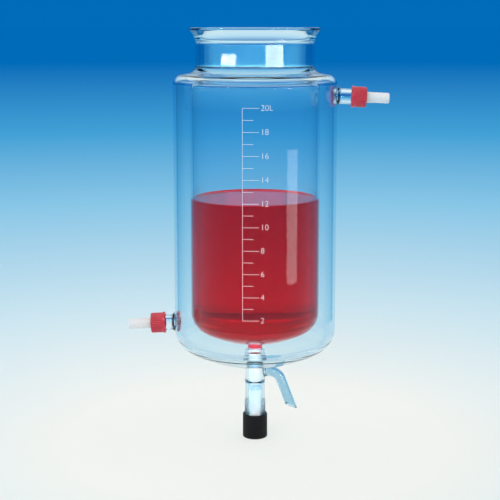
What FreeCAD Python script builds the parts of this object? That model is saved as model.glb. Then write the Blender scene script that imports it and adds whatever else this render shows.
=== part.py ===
"""A 20 litre jacketed glass vessel with a bottom outlet valve and two hose connections.

Millimetres. The origin is the centre of the flange's top face, +Z points up along the
vessel's axis, and the drain spout and the upper hose connection point along +X. Depths are
measured down from the flange's top face.

The glass is fused into one piece on the real vessel. Here it is formed from the tubes that
a glassblower starts from, and they meet face to face.
"""
import FreeCAD, Part
import math
import os
from types import SimpleNamespace

import Sketcher

doc = FreeCAD.newDocument("jacketed_vessel")
sheet = doc.addObject("Spreadsheet::Sheet", "Sizes")

# Driving dimensions
SIZES = [
    # neck and flange
    ("bore_radius", 107, "inside of the neck"),
    ("neck_wall", 7, "glass of the neck"),
    ("neck_margin", 0.84, "from the neck's lower end to the collar's rounding"),
    ("flange_reach", 11, "how far the flange stands out from the neck"),
    ("flange_edge", 3, "rounding of the flange's upper edge"),
    ("flange_rim", 7, "height of the rim above the cone"),
    ("cone_drop", 11, "height of the cone under the rim"),
    ("cone_blend", 4, "length of the blend from cone to neck"),
    # jacket
    ("jacket_gap", 25.5, "space between the vessel and the jacket"),
    ("jacket_wall", 7, "glass of the jacket"),
    ("jacket_top", 108, "depth where the straight wall starts"),
    ("jacket_drop", 32, "from the end of the vessel's straight wall to the jacket's"),
    ("shoulder_slope", 10, "slope of the shoulder, degrees"),
    ("shoulder_round", 20, "rounding from shoulder to wall"),
    ("collar_round", 8, "rounding from neck to shoulder"),
    ("jacket_knuckle", 48, "lower corner of the jacket"),
    ("jacket_crown", 275, "radius of the jacket's bottom"),
    # inner vessel
    ("vessel_radius", 125, "outside of the vessel"),
    ("vessel_wall", 5, "glass of the vessel"),
    ("vessel_drop", 12, "from the start of the jacket's straight wall to the vessel's"),
    ("vessel_length", 431, "length of the vessel's straight wall"),
    ("vessel_knuckle", 42, "lower corner of the vessel"),
    ("vessel_crown", 220, "radius of the vessel's bottom"),
    # outlet neck
    ("outlet_bore", 12.3, "bore radius of the outlet, the valve's seat"),
    ("outlet_wall", 2.2, "glass of the outlet neck"),
    ("outlet_blend", 6, "rounding from the vessel's bottom to the outlet"),
    ("outlet_lip", 4, "rounding of the outlet's inner edge"),
    ("outlet_start", 0.4, "from the outlet's rounding to the outlet neck"),
    ("outlet_length", 13, "length of the outlet neck"),
    # valve barrel
    ("chamber_radius", 20.2, "outside of the valve's chamber"),
    ("chamber_wall", 2.7, "glass of the chamber"),
    ("chamber_length", 59, "from the outlet neck to the chamber's lower end"),
    ("guide_radius", 19.3, "outside of the guide tube"),
    ("guide_bore", 13.45, "bore radius of the guide tube"),
    ("guide_blend", 5, "height of the step from chamber to guide tube"),
    ("guide_length", 40, "from the chamber's end to the barrel's thread"),
    ("thread_step", 2, "height of the step up to the thread"),
    ("thread_radius", 20.75, "crest of the barrel's thread"),
    ("thread_length", 58, "length of the barrel's threaded end"),
    ("barrel_edge", 1.5, "bevel of the barrel's lower end"),
    # drain spout
    ("spout_radius", 9.9, "outside of the spout"),
    ("spout_wall", 2.4, "glass of the spout"),
    ("spout_drop", 42.2, "from the outlet neck to the spout's level start"),
    ("spout_run", 26.7, "level length from the vessel's axis"),
    ("spout_bend", 26.4, "radius of the bend's centre line"),
    ("spout_lean", 20.7, "lean of the spout's end from the vertical, degrees"),
    ("spout_length", 57, "straight length after the bend"),
    ("spout_cut", 50, "angle between the end cut and the spout, degrees"),
    # hose ports
    ("port_slope", 2.6, "slope of both ports, degrees"),
    ("port_radius", 14.7, "outside of a port's tube"),
    ("port_bore", 10, "bore radius of a port"),
    ("port_flare", 20.5, "radius where a port meets the jacket"),
    ("flare_length", 9, "length of the flare outside the jacket"),
    ("flare_root", 7, "length of the flare inside the jacket's outline"),
    ("upper_port_drop", 22.1, "from the start of the jacket's wall to the upper port"),
    ("lower_port_rise", 8.7, "from the end of the jacket's wall up to the lower port"),
    ("upper_reach", 27.6, "from the wall to the upper cap"),
    ("lower_reach", 18.6, "from the wall to the lower cap"),
    ("port_thread", 16, "crest of a port's thread"),
    ("port_thread_start", 1.5, "from the cap's edge to the thread"),
    ("port_rim", 17.2, "from the cap's edge to the port's ground rim"),
    ("port_edge", 1, "bevels of a port's thread"),
    # screw caps
    ("cap_length", 28.4, "length of a cap"),
    ("cap_radius", 19.6, "outside of the ribs"),
    ("lip_radius", 20.7, "outside of the smooth band"),
    ("lip_length", 5.4, "length of the smooth band"),
    ("cap_end", 5.2, "thickness of the cap's end wall"),
    ("cap_edge", 1.2, "bevels of a cap"),
    ("cap_ribs", 32, "number of grooves between the ribs"),
    ("cap_groove", 1, "depth of a groove between two ribs"),
    # hose nozzles
    ("nozzle_bore", 6, "bore radius of a nozzle"),
    ("nozzle_radius", 10.4, "plain part next to the cap"),
    ("nozzle_length", 44, "length outside the cap"),
    ("nozzle_land", 8, "length of the plain part"),
    ("nozzle_shank", 0.3, "step down from the plain part to the shank in the cap"),
    ("shank_reach", 1, "length of the shank outside the cap"),
    ("nozzle_flange", 14.9, "radius of the flange inside the cap"),
    ("nozzle_flange_thickness", 3.2, "thickness of the flange"),
    ("spigot_radius", 9.5, "part inside the port's bore"),
    ("spigot_length", 6, "length of the part inside the port"),
    ("barb_count", 4, "number of barbs"),
    ("barb_height", 0.6, "height of a barb"),
    ("barb_rise", 0.8, "length of a barb's steep side"),
    ("nozzle_tip_edge", 0.9, "bevel of the nozzle's end"),
    # valve spindle
    ("spindle_radius", 11.75, "shaft of the spindle"),
    ("tip_reach", 19, "from the valve barrel up to the spindle's tip when closed"),
    ("spindle_tip_round", 4, "rounding of the tip"),
    ("tip_seal_drop", 15.6, "from the spindle's tip to the red ring"),
    ("seal_wire", 1.5, "half thickness of the spindle's rings"),
    ("lip_seal_drop", 13, "from the chamber's end to the lip seal's middle"),
    ("lip_seal_length", 11, "length of the lip seal"),
    ("lip_seal_waist", 9.4, "spindle inside the lip seal"),
    ("lip_length_each", 2.2, "length of each sealing lip"),
    ("lip_relief", 1.1, "depth between the lips"),
    ("wiper_rise", 20, "from the barrel's lower end up to the lower ring"),
    ("shaft_reach", 1.5, "from the barrel's lower end to the spindle's shoulder"),
    ("stem_radius", 6, "stem through the knob's floor"),
    ("stem_reach", 3.55, "length of the stem beyond its clip"),
    ("clip_groove", 1.2, "depth of the clip's groove"),
    # knob and what holds it
    ("knob_radius", 24.3, "outside of the knob"),
    ("knob_cover", 29, "length of the barrel inside the knob"),
    ("knob_edge", 1.1, "bevels of the knob's mouth"),
    ("knob_round", 2.5, "rounding of the knob's end"),
    ("knob_floor", 6.4, "thickness of the knob's floor"),
    ("knob_recess", 13, "radius of the hollow under the floor"),
    ("recess_depth", 9, "depth of the hollow under the floor"),
    ("knob_ribs", 60, "number of grooves around the knob"),
    ("knob_groove", 0.8, "depth of a groove"),
    ("rib_margin", 2.6, "plain band at each end of the ribs"),
    ("washer_radius", 11.2, "outside of the thrust washer"),
    ("washer_thickness", 2, "thickness of the thrust washer"),
    ("clip_radius", 9.8, "outside of the retaining clip"),
    ("clip_thickness", 1.4, "thickness of the retaining clip"),
    ("clip_gap", 7, "width of the clip's opening"),
    # clearances
    ("thread_clearance", 0.35, "between each screw thread and its cap or knob"),
    ("running_clearance", 0.3, "round pieces that slide in the glass"),
    ("seat_clearance", 0.05, "between pieces that touch and move apart"),
]


class Size:
    """A size that knows both its number and the formula over the sheet that gives it."""

    def __init__(self, value, text):
        self.value = value
        self.text = text

    def __add__(self, other):
        return formula(self, "+", other, lambda a, b: a + b)

    def __sub__(self, other):
        return formula(self, "-", other, lambda a, b: a - b)

    def __mul__(self, other):
        return formula(self, "*", other, lambda a, b: a * b)

    def __truediv__(self, other):
        return formula(self, "/", other, lambda a, b: a / b)

    def __radd__(self, other):
        return size(other) + self

    def __rsub__(self, other):
        return size(other) - self

    def __rmul__(self, other):
        return size(other) * self

    def __neg__(self):
        return size(0) - self


def size(value):
    return value if isinstance(value, Size) else Size(value, repr(value))


def formula(left, sign, right, work):
    left, right = size(left), size(right)
    return Size(work(left.value, right.value), f"({left.text} {sign} {right.text})")


def root(square):
    return Size(math.sqrt(square.value), f"sqrt({square.text})")


def sine(angle):
    return Size(math.sin(math.radians(angle.value)), f"sin({angle.text})")


def cosine(angle):
    return Size(math.cos(math.radians(angle.value)), f"cos({angle.text})")


def fill_sheet():
    """Write the driving dimensions into the sheet and give each one back as a Size."""
    for row, (name, value, note) in enumerate(SIZES, start=1):
        sheet.set(f"A{row}", name)
        sheet.set(f"B{row}", str(value))
        sheet.set(f"C{row}", note)
        sheet.setAlias(f"B{row}", name)
    doc.recompute()
    return SimpleNamespace(**{name: Size(float(sheet.get(name)), "Sizes." + name)
                              for name, _, _ in SIZES})


def new_body(name):
    body = doc.addObject("PartDesign::Body", name)
    body.Label = name
    return body


def new_sketch(body, role, name):
    """A sketch on one of the body's own origin planes."""
    sketch = body.newObject("Sketcher::SketchObject", name)
    plane = [feature for feature in body.Origin.OriginFeatures if feature.Role == role][0]
    sketch.AttachmentSupport = [(plane, "")]
    sketch.MapMode = "FlatFace"
    return sketch


def tie(sketch, name, constraint, value):
    """Add a constraint and bind it to its formula."""
    index = sketch.addConstraint(constraint)
    sketch.renameConstraint(index, name)
    sketch.setExpression("Constraints." + name, value.text)


def arc_between(start, end, radius):
    """The short arc from start to end. A positive radius turns left, a negative one right."""
    chord = end - start
    middle = (start + end) / 2
    left = FreeCAD.Vector(-chord.y, chord.x, 0) / chord.Length
    height = math.sqrt(max(radius * radius - chord.Length ** 2 / 4, 0))
    centre = middle + left * math.copysign(height, radius)
    angles = [math.atan2(point.y - centre.y, point.x - centre.x) for point in (start, end)]
    if radius < 0:
        angles.reverse()
    circle = Part.Circle(centre, FreeCAD.Vector(0, 0, 1), abs(radius))
    return Part.ArcOfCircle(circle, *angles)


def draw(sketch, points, closed=True):
    """Draw an outline through points and tie every corner and radius to its formula.

    A point is (across, up) at the end of a straight line, or (across, up, radius) at the
    end of an arc. Each line or arc starts where the one before it ends.
    """
    corners = [FreeCAD.Vector(size(p[0]).value, size(p[1]).value, 0) for p in points]
    ends = []
    for index in range(len(points)):
        if index == 0 and not closed:
            continue
        start, end, point = corners[index - 1], corners[index], points[index]
        bend = size(point[2]) if len(point) == 3 else None
        if bend is None:
            edge = sketch.addGeometry(Part.LineSegment(start, end), False)
            first, last = 1, 2
        else:
            edge = sketch.addGeometry(arc_between(start, end, bend.value), False)
            first, last = (1, 2) if bend.value > 0 else (2, 1)
            tie(sketch, f"bend{index}", Sketcher.Constraint("Radius", edge, abs(bend.value)),
                bend if bend.value > 0 else -bend)
        ends.append((index, edge, first, last))
    for place, (index, edge, first, last) in enumerate(ends):
        if place or closed:
            before = ends[place - 1]
            sketch.addConstraint(Sketcher.Constraint("Coincident", before[1], before[3],
                                                     edge, first))
        else:
            pin_corner(sketch, 0, edge, first, points[0])
        pin_corner(sketch, index, edge, last, points[index])


def pin_corner(sketch, index, edge, place, point):
    """Tie one corner's two distances from the sketch's origin."""
    across, up = size(point[0]), size(point[1])
    tie(sketch, f"across{index}",
        Sketcher.Constraint("DistanceX", -1, 1, edge, place, across.value), across)
    tie(sketch, f"up{index}",
        Sketcher.Constraint("DistanceY", -1, 1, edge, place, up.value), up)


def turned(name, points):
    """A body turned about its upright axis from one closed outline of (radius, height)."""
    body = new_body(name)
    sketch = new_sketch(body, "XZ_Plane", name + "_outline")
    draw(sketch, points)
    turn = body.newObject("PartDesign::Revolution", name + "_turn")
    turn.Profile = sketch
    turn.ReferenceAxis = (sketch, ["V_Axis"])
    turn.Angle = 360
    return body


def tube(name, outside, inside, bottom, top):
    return turned(name, [(inside, bottom), (outside, bottom), (outside, top), (inside, top)])


def notch_sketch(body, name, radius, depth):
    """A three-cornered notch in the rim at +X."""
    sketch = new_sketch(body, "XY_Plane", name)
    rim = radius + depth / 2
    draw(sketch, [(radius - depth, 0), (rim, -depth), (rim, depth)])
    return sketch


def circle_sketch(body, role, name, radius, across=0, up=0):
    sketch = new_sketch(body, role, name)
    across, up = size(across), size(up)
    centre = FreeCAD.Vector(across.value, up.value, 0)
    ring = Part.Circle(centre, FreeCAD.Vector(0, 0, 1), radius.value)
    edge = sketch.addGeometry(ring, False)
    tie(sketch, "radius", Sketcher.Constraint("Radius", edge, radius.value), radius)
    tie(sketch, "across", Sketcher.Constraint("DistanceX", -1, 1, edge, 3, across.value), across)
    tie(sketch, "up", Sketcher.Constraint("DistanceY", -1, 1, edge, 3, up.value), up)
    return sketch


def ribbed(body, depth, rib_radius, top, length, count):
    """Cut upright grooves around a turned body, from height top down by length."""
    name = body.Label
    sketch = notch_sketch(body, name + "_groove_outline", rib_radius, depth)
    sketch.setExpression(".AttachmentOffset.Base.z", top.text)
    groove = body.newObject("PartDesign::Pocket", name + "_groove")
    groove.Profile = sketch
    groove.setExpression("Length", length.text)
    pattern = body.newObject("PartDesign::PolarPattern", name + "_grooves")
    pattern.Originals = [groove]
    pattern.Axis = (sketch, ["N_Axis"])
    pattern.Angle = 360
    pattern.setExpression("Occurrences", count.text)
    body.Tip = pattern
    return body


def ring_seal(name, ring_radius, wire, height):
    """A ring seal. Its round section is drawn as an octagon, to keep its facets few."""
    flat = wire * sine(size(22.5)) / cosine(size(22.5))
    return turned(name, [(ring_radius + wire, height - flat), (ring_radius + wire, height + flat),
                         (ring_radius + flat, height + wire), (ring_radius - flat, height + wire),
                         (ring_radius - wire, height + flat), (ring_radius - wire, height - flat),
                         (ring_radius - flat, height - wire), (ring_radius + flat, height - wire)])


def place_on_port(piece, side, depth, along):
    """Stand a piece's +Z on a port's axis, at a distance along it from the jacket's wall.

    side is 1 for the port on +X and -1 for the one on -X.
    """
    across = side * (jacket_radius + along * cosine(s.port_slope))
    up = -depth - along * sine(s.port_slope)
    turn = side * (90 + s.port_slope)
    piece.Placement.Rotation = FreeCAD.Rotation(FreeCAD.Vector(0, 1, 0), turn.value)
    piece.setExpression(".Placement.Base.x", across.text)
    piece.setExpression(".Placement.Base.z", up.text)
    piece.setExpression(".Placement.Rotation.Angle", turn.text)


def cut(name, base, tools):
    """base without tools, as one named piece."""
    rest = base
    for tool in tools[:-1]:
        step = doc.addObject("Part::Cut", f"{name}_without_{tool.Name}")
        step.Base, step.Tool = rest, tool
        rest = step
    piece = doc.addObject("Part::Cut", name)
    piece.Label = name
    piece.Base, piece.Tool = rest, tools[-1]
    return piece


def dish(radius, knuckle, crown, wall_end):
    """A dished bottom: centre height of the crown, and the corner between crown and knuckle."""
    reach = crown - knuckle
    run = radius - knuckle
    drop = root(reach * reach - run * run)
    centre = drop - wall_end
    corner = (run * crown / reach, centre - drop * crown / reach)
    return centre, corner


def blend_at(radius, blend, crown, centre):
    """A rounding between an upright tube and a dished surface that it leaves.

    Gives the height where the rounding meets the tube and the corner where it meets the dish.
    """
    reach = crown + blend
    run = radius + blend
    drop = root(reach * reach - run * run)
    return centre - drop, (run * crown / reach, centre - drop * crown / reach)


s = fill_sheet()

# Depths and radii that follow from the sizes above
neck_radius = s.bore_radius + s.neck_wall
flange_radius = neck_radius + s.flange_reach
vessel_inside = s.vessel_radius - s.vessel_wall
jacket_inside = s.vessel_radius + s.jacket_gap
jacket_radius = jacket_inside + s.jacket_wall
vessel_top = s.jacket_top + s.vessel_drop
vessel_depth = vessel_top + s.vessel_length
jacket_depth = vessel_depth + s.jacket_drop

# The jacket's shoulder: outer and inner face share one slope and one rounding centre
slope_sine, slope_cosine = sine(s.shoulder_slope), cosine(s.shoulder_slope)
round_centre = jacket_radius - s.shoulder_round
inner_round = s.shoulder_round - s.jacket_wall


def shoulder_height(across, rounding):
    """Height of the shoulder's outer or inner face at a radius, by its rounding."""
    return (rounding * slope_cosine - s.jacket_top
            + (round_centre + rounding * slope_sine - across) * slope_sine / slope_cosine)


def shoulder_end(rounding):
    """Where the slope meets the rounding."""
    return round_centre + rounding * slope_sine, rounding * slope_cosine - s.jacket_top


collar_centre = neck_radius + s.collar_round
collar_height = shoulder_height(collar_centre, s.shoulder_round) + s.collar_round / slope_cosine
collar_foot = shoulder_height(neck_radius, inner_round)
neck_foot = collar_height + s.neck_margin

# Neck and flange
cone_side = root(s.flange_reach * s.flange_reach + s.cone_drop * s.cone_drop)
cone_foot = -s.flange_rim - s.cone_drop
neck_flange = turned("neck_flange", [
    (s.bore_radius, 0),
    (flange_radius - s.flange_edge, 0),
    (flange_radius, -s.flange_edge, -s.flange_edge),
    (flange_radius, -s.flange_rim),
    (neck_radius + s.cone_blend * s.flange_reach / cone_side,
     cone_foot + s.cone_blend * s.cone_drop / cone_side),
    (neck_radius, cone_foot - s.cone_blend,
     s.cone_blend * s.flange_reach / (cone_side - s.cone_drop)),
    (neck_radius, neck_foot),
    (s.bore_radius, neck_foot)])

# Jacket: a collar and a sloping shoulder, a straight wall, and a dished bottom
jacket_centre, jacket_corner = dish(jacket_radius, s.jacket_knuckle, s.jacket_crown, jacket_depth)
inner_crown, inner_knuckle = s.jacket_crown - s.jacket_wall, s.jacket_knuckle - s.jacket_wall
_, jacket_inner_corner = dish(jacket_inside, inner_knuckle, inner_crown, jacket_depth)


def dish_height(across, crown, centre):
    return centre - root(crown * crown - across * across)


collar_line = [
    (neck_radius, collar_height),
    (collar_centre - s.collar_round * slope_sine,
     collar_height - s.collar_round * slope_cosine, s.collar_round),
    shoulder_end(s.shoulder_round),
    (jacket_radius, -s.jacket_top, -s.shoulder_round)]
jacket_shoulder = turned("jacket_shoulder", [
    (s.bore_radius, neck_foot),
    (neck_radius, neck_foot),
    *collar_line,
    (jacket_inside, -s.jacket_top),
    (*shoulder_end(inner_round), inner_round),
    (neck_radius, collar_foot),
    (s.bore_radius, collar_foot)])
jacket_tube = tube("jacket_tube", jacket_radius, jacket_inside, -jacket_depth, -s.jacket_top)
jacket_dish = turned("jacket_dish", [
    (jacket_radius, -jacket_depth),
    (*jacket_corner, -s.jacket_knuckle),
    (s.chamber_radius, dish_height(s.chamber_radius, s.jacket_crown, jacket_centre),
     -s.jacket_crown),
    (s.chamber_radius, dish_height(s.chamber_radius, inner_crown, jacket_centre)),
    (*jacket_inner_corner, inner_crown),
    (jacket_inside, -jacket_depth, inner_knuckle)])
jacket_form = turned("jacket_form", [
    (0, neck_foot),
    (neck_radius, neck_foot),
    *collar_line,
    (jacket_radius, -jacket_depth),
    (*jacket_corner, -s.jacket_knuckle),
    (0, jacket_centre - s.jacket_crown, -s.jacket_crown)])

# Inner vessel: hangs from the collar, widens to its full size and is drawn down to the outlet
outlet_radius = s.outlet_bore + s.outlet_wall
vessel_centre, vessel_corner = dish(s.vessel_radius, s.vessel_knuckle, s.vessel_crown,
                                    vessel_depth)
vessel_inner_crown = s.vessel_crown - s.vessel_wall
vessel_inner_knuckle = s.vessel_knuckle - s.vessel_wall
_, vessel_inner_corner = dish(vessel_inside, vessel_inner_knuckle, vessel_inner_crown,
                              vessel_depth)
outlet_height, outlet_corner = blend_at(outlet_radius, s.outlet_blend, s.vessel_crown,
                                        vessel_centre)
lip_height, lip_corner = blend_at(s.outlet_bore, s.outlet_lip, vessel_inner_crown, vessel_centre)
outlet_top = s.outlet_start - outlet_height
outlet_end = outlet_top + s.outlet_length


def widening(narrow, wide):
    """The middle point and radius of two equal arcs that widen the neck to the vessel."""
    step = wide - narrow
    fall = collar_foot + vessel_top
    bend = (step * step + fall * fall) / (4 * step)
    return ((narrow + wide) / 2, (collar_foot - vessel_top) / 2), bend


outer_middle, outer_bend = widening(neck_radius, s.vessel_radius)
inner_middle, inner_bend = widening(s.bore_radius, vessel_inside)
vessel_shoulder = turned("vessel_shoulder", [
    (neck_radius, collar_foot),
    (*outer_middle, outer_bend),
    (s.vessel_radius, -vessel_top, -outer_bend),
    (vessel_inside, -vessel_top),
    (*inner_middle, inner_bend),
    (s.bore_radius, collar_foot, -inner_bend)])
vessel_wall = tube("vessel_wall", s.vessel_radius, vessel_inside, -vessel_depth, -vessel_top)
vessel_bottom = turned("vessel_bottom", [
    (s.vessel_radius, -vessel_depth),
    (*vessel_corner, -s.vessel_knuckle),
    (*outlet_corner, -s.vessel_crown),
    (outlet_radius, outlet_height, s.outlet_blend),
    (outlet_radius, -outlet_top),
    (s.outlet_bore, -outlet_top),
    (s.outlet_bore, lip_height),
    (*lip_corner, -s.outlet_lip),
    (*vessel_inner_corner, vessel_inner_crown),
    (vessel_inside, -vessel_depth, vessel_inner_knuckle)])

outlet_neck = tube("outlet_neck", outlet_radius, s.outlet_bore, -outlet_end, -outlet_top)

# Valve barrel: chamber round the spindle, guide tube below it and a threaded end
chamber_bore = s.chamber_radius - s.chamber_wall
chamber_depth = outlet_end + s.chamber_length
thread_depth = chamber_depth + s.guide_length
barrel_depth = thread_depth + s.thread_length
barrel_round = s.chamber_radius - outlet_radius
barrel_inner_round = barrel_round - s.chamber_wall
chamber_top = -outlet_end - barrel_round
valve_barrel = turned("valve_barrel", [
    (s.outlet_bore, -outlet_end),
    (outlet_radius, -outlet_end),
    (s.chamber_radius, chamber_top, -barrel_round),
    (s.chamber_radius, -chamber_depth),
    (s.guide_radius, -chamber_depth - s.guide_blend),
    (s.guide_radius, -thread_depth),
    (s.thread_radius, -thread_depth - s.thread_step),
    (s.thread_radius, s.barrel_edge - barrel_depth),
    (s.thread_radius - s.barrel_edge, -barrel_depth),
    (s.guide_bore, -barrel_depth),
    (s.guide_bore, -chamber_depth - s.guide_blend),
    (chamber_bore, -chamber_depth),
    (chamber_bore, chamber_top),
    (chamber_bore - barrel_inner_round, chamber_top + barrel_inner_round, barrel_inner_round),
    (s.outlet_bore, chamber_top + barrel_inner_round)])
spout_bore = s.spout_radius - s.spout_wall
spout_depth = outlet_end + s.spout_drop
spout_mouth = valve_barrel.newObject("PartDesign::Pocket", "spout_mouth")
spout_mouth.Profile = circle_sketch(valve_barrel, "YZ_Plane", "spout_mouth_circle", spout_bore,
                                    0, -spout_depth)
spout_mouth.Reversed = True
spout_mouth.setExpression("Length", (s.chamber_radius * 2).text)
valve_barrel.Tip = spout_mouth

# Drain spout: level out of the chamber, bent down and cut off at a slant
bend_end = (s.spout_run + s.spout_bend * cosine(s.spout_lean),
            s.spout_bend * sine(s.spout_lean) - s.spout_bend - spout_depth)
spout_end = (bend_end[0] + s.spout_length * sine(s.spout_lean),
             bend_end[1] - s.spout_length * cosine(s.spout_lean))
overrun = s.spout_radius * 2
spout_far = (spout_end[0] + overrun * sine(s.spout_lean),
             spout_end[1] - overrun * cosine(s.spout_lean))
spout_blank = new_body("spout_blank")
spout_line = new_sketch(spout_blank, "XZ_Plane", "spout_line")
draw(spout_line, [(0, -spout_depth), (s.spout_run, -spout_depth),
                  (*bend_end, -s.spout_bend), spout_far], closed=False)
for kind, name, radius in (("AdditivePipe", "spout_outside", s.spout_radius),
                           ("SubtractivePipe", "spout_inside", spout_bore)):
    section = circle_sketch(spout_blank, "YZ_Plane", name + "_circle", radius, 0, -spout_depth)
    pipe = spout_blank.newObject("PartDesign::" + kind, name)
    pipe.Profile = section
    pipe.Spine = (spout_line, ["Edge1", "Edge2", "Edge3"])

# The slant leaves the spout's inner side longer, as a tip that drips cleanly.
cut_angle = s.spout_lean + s.spout_cut
cut_half = s.spout_radius * 3


def from_spout_end(along, beyond):
    """A point of the slanted cut: along the cut, and beyond it away from the spout."""
    return (spout_end[0] + along * sine(cut_angle - 2 * s.spout_lean)
            + beyond * cosine(cut_angle - 2 * s.spout_lean),
            spout_end[1] + along * cosine(cut_angle - 2 * s.spout_lean)
            - beyond * sine(cut_angle - 2 * s.spout_lean))


slant_cut = spout_blank.newObject("PartDesign::Pocket", "slant_cut")
slant_sketch = new_sketch(spout_blank, "XZ_Plane", "slant_outline")
draw(slant_sketch, [from_spout_end(-cut_half, size(0)), from_spout_end(-cut_half, cut_half),
                    from_spout_end(cut_half, cut_half), from_spout_end(cut_half, size(0))])
slant_cut.Profile = slant_sketch
slant_cut.SideType = "Symmetric"
slant_cut.setExpression("Length", (cut_half * 2).text)
spout_blank.Tip = slant_cut

chamber_form = doc.addObject("Part::Cylinder", "chamber_form")
chamber_form.setExpression("Radius", s.chamber_radius.text)
chamber_form.setExpression("Height", (chamber_depth - outlet_end).text)
chamber_form.setExpression(".Placement.Base.z", (-chamber_depth).text)
drain_spout = cut("drain_spout", spout_blank, [chamber_form])

# Hose connections: glass port, ribbed screw cap, barbed nozzle and sealing ring
cap_bore = s.port_thread + s.thread_clearance
cap_inner_end = s.cap_length - s.cap_end
nozzle_seat = cap_inner_end - s.seat_clearance
flange_foot = nozzle_seat - s.nozzle_flange_thickness
flare_rise = s.port_flare - s.port_radius
flare_bend = (flare_rise * flare_rise + s.flare_length * s.flare_length) / (2 * flare_rise)
shank_radius = s.nozzle_radius - s.nozzle_shank
land_start = s.cap_length + s.shank_reach
barb_root = s.nozzle_radius - s.barb_height
barb_start = land_start + s.nozzle_land
barb_pitch = (s.cap_length + s.nozzle_length - barb_start) / s.barb_count


def port_blank(name, reach):
    return turned(name, [
        (s.port_bore, -s.flare_root),
        (s.port_flare, -s.flare_root),
        (s.port_flare, 0),
        (s.port_radius, s.flare_length, -flare_bend),
        (s.port_radius, reach + s.port_thread_start),
        (s.port_thread, reach + s.port_thread_start + s.port_edge),
        (s.port_thread, reach + s.port_rim - s.port_edge),
        (s.port_thread - s.port_edge, reach + s.port_rim),
        (s.port_bore, reach + s.port_rim)])


def screw_cap(name):
    body = turned(name, [
        (cap_bore + s.cap_edge, 0),
        (s.lip_radius - s.cap_edge, 0),
        (s.lip_radius, s.cap_edge),
        (s.lip_radius, s.lip_length - s.cap_edge),
        (s.cap_radius, s.lip_length),
        (s.cap_radius, s.cap_length - s.cap_edge),
        (s.cap_radius - s.cap_edge, s.cap_length),
        (s.nozzle_radius + s.thread_clearance, s.cap_length),
        (s.nozzle_radius + s.thread_clearance, cap_inner_end),
        (cap_bore, cap_inner_end),
        (cap_bore, s.cap_edge)])
    return ribbed(body, s.cap_groove, s.cap_radius, s.cap_length,
                  s.cap_length - s.lip_length, s.cap_ribs)


def hose_nozzle(name):
    barbs = []
    for number in range(round(s.barb_count.value)):
        foot = barb_start + barb_pitch * number
        barbs += [(barb_root, foot), (s.nozzle_radius, foot + s.barb_rise)]
    tip = s.cap_length + s.nozzle_length
    return turned(name, [
        (s.nozzle_bore, s.port_rim - s.spigot_length),
        (s.spigot_radius, s.port_rim - s.spigot_length),
        (s.spigot_radius, flange_foot),
        (s.nozzle_flange, flange_foot),
        (s.nozzle_flange, nozzle_seat),
        (shank_radius, nozzle_seat),
        (shank_radius, land_start),
        (s.nozzle_radius, land_start),
        (s.nozzle_radius, barb_start),
        *barbs,
        (barb_root, tip - s.nozzle_tip_edge),
        (barb_root - s.nozzle_tip_edge, tip),
        (s.nozzle_bore, tip)])


def bore_cutter(name, side, depth):
    cutter = doc.addObject("Part::Cylinder", name)
    cutter.setExpression("Radius", s.port_bore.text)
    cutter.setExpression("Height", (s.jacket_wall * 4).text)
    place_on_port(cutter, side, depth, -s.jacket_wall * 3)
    return cutter


PORTS = [("upper", 1, s.jacket_top + s.upper_port_drop, s.upper_reach),
         ("lower", -1, jacket_depth - s.lower_port_rise, s.lower_reach)]
hose_pieces = []
bore_cutters = []
for which, side, depth, reach in PORTS:
    blank = port_blank(which + "_port_blank", reach)
    place_on_port(blank, side, depth, size(0))
    hose_pieces.append(cut(which + "_hose_port", blank, [jacket_form]))
    bore_cutters.append(bore_cutter(which + "_port_hole", side, depth))
    on_port = [screw_cap(which + "_screw_cap"),
               hose_nozzle(which + "_hose_nozzle"),
               tube(which + "_sealing_ring", s.nozzle_flange, s.spigot_radius + s.running_clearance,
                    s.port_rim + s.seat_clearance, flange_foot - s.seat_clearance)]
    for piece in on_port:
        place_on_port(piece, side, depth, reach)
    hose_pieces += on_port
jacket_wall = cut("jacket_wall", jacket_tube, bore_cutters)
jacket_bottom = cut("jacket_bottom", jacket_dish, bore_cutters[1:])

# Valve spindle with its seals, drawn closed
seat_seal_radius = s.outlet_bore - s.running_clearance - s.seal_wire
seat_groove = seat_seal_radius - s.seal_wire - s.seat_clearance
wiper_radius = s.guide_bore - s.running_clearance - s.seal_wire
wiper_groove = wiper_radius - s.seal_wire - s.seat_clearance
groove_half = s.seal_wire + s.seat_clearance
spindle_top = outlet_end - s.tip_reach
tip_seal_depth = spindle_top + s.tip_seal_drop
wiper_depth = barrel_depth - s.wiper_rise
lip_top = s.lip_seal_length / 2 - s.lip_seal_drop - chamber_depth
lip_bottom = lip_top - s.lip_seal_length
shaft_depth = barrel_depth + s.shaft_reach
washer_foot = shaft_depth + s.washer_thickness + s.seat_clearance
floor_top = washer_foot + s.seat_clearance
floor_foot = floor_top + s.knob_floor
clip_top = floor_foot + s.seat_clearance
clip_foot = clip_top + s.clip_thickness
stem_depth = clip_foot + s.stem_reach
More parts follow.
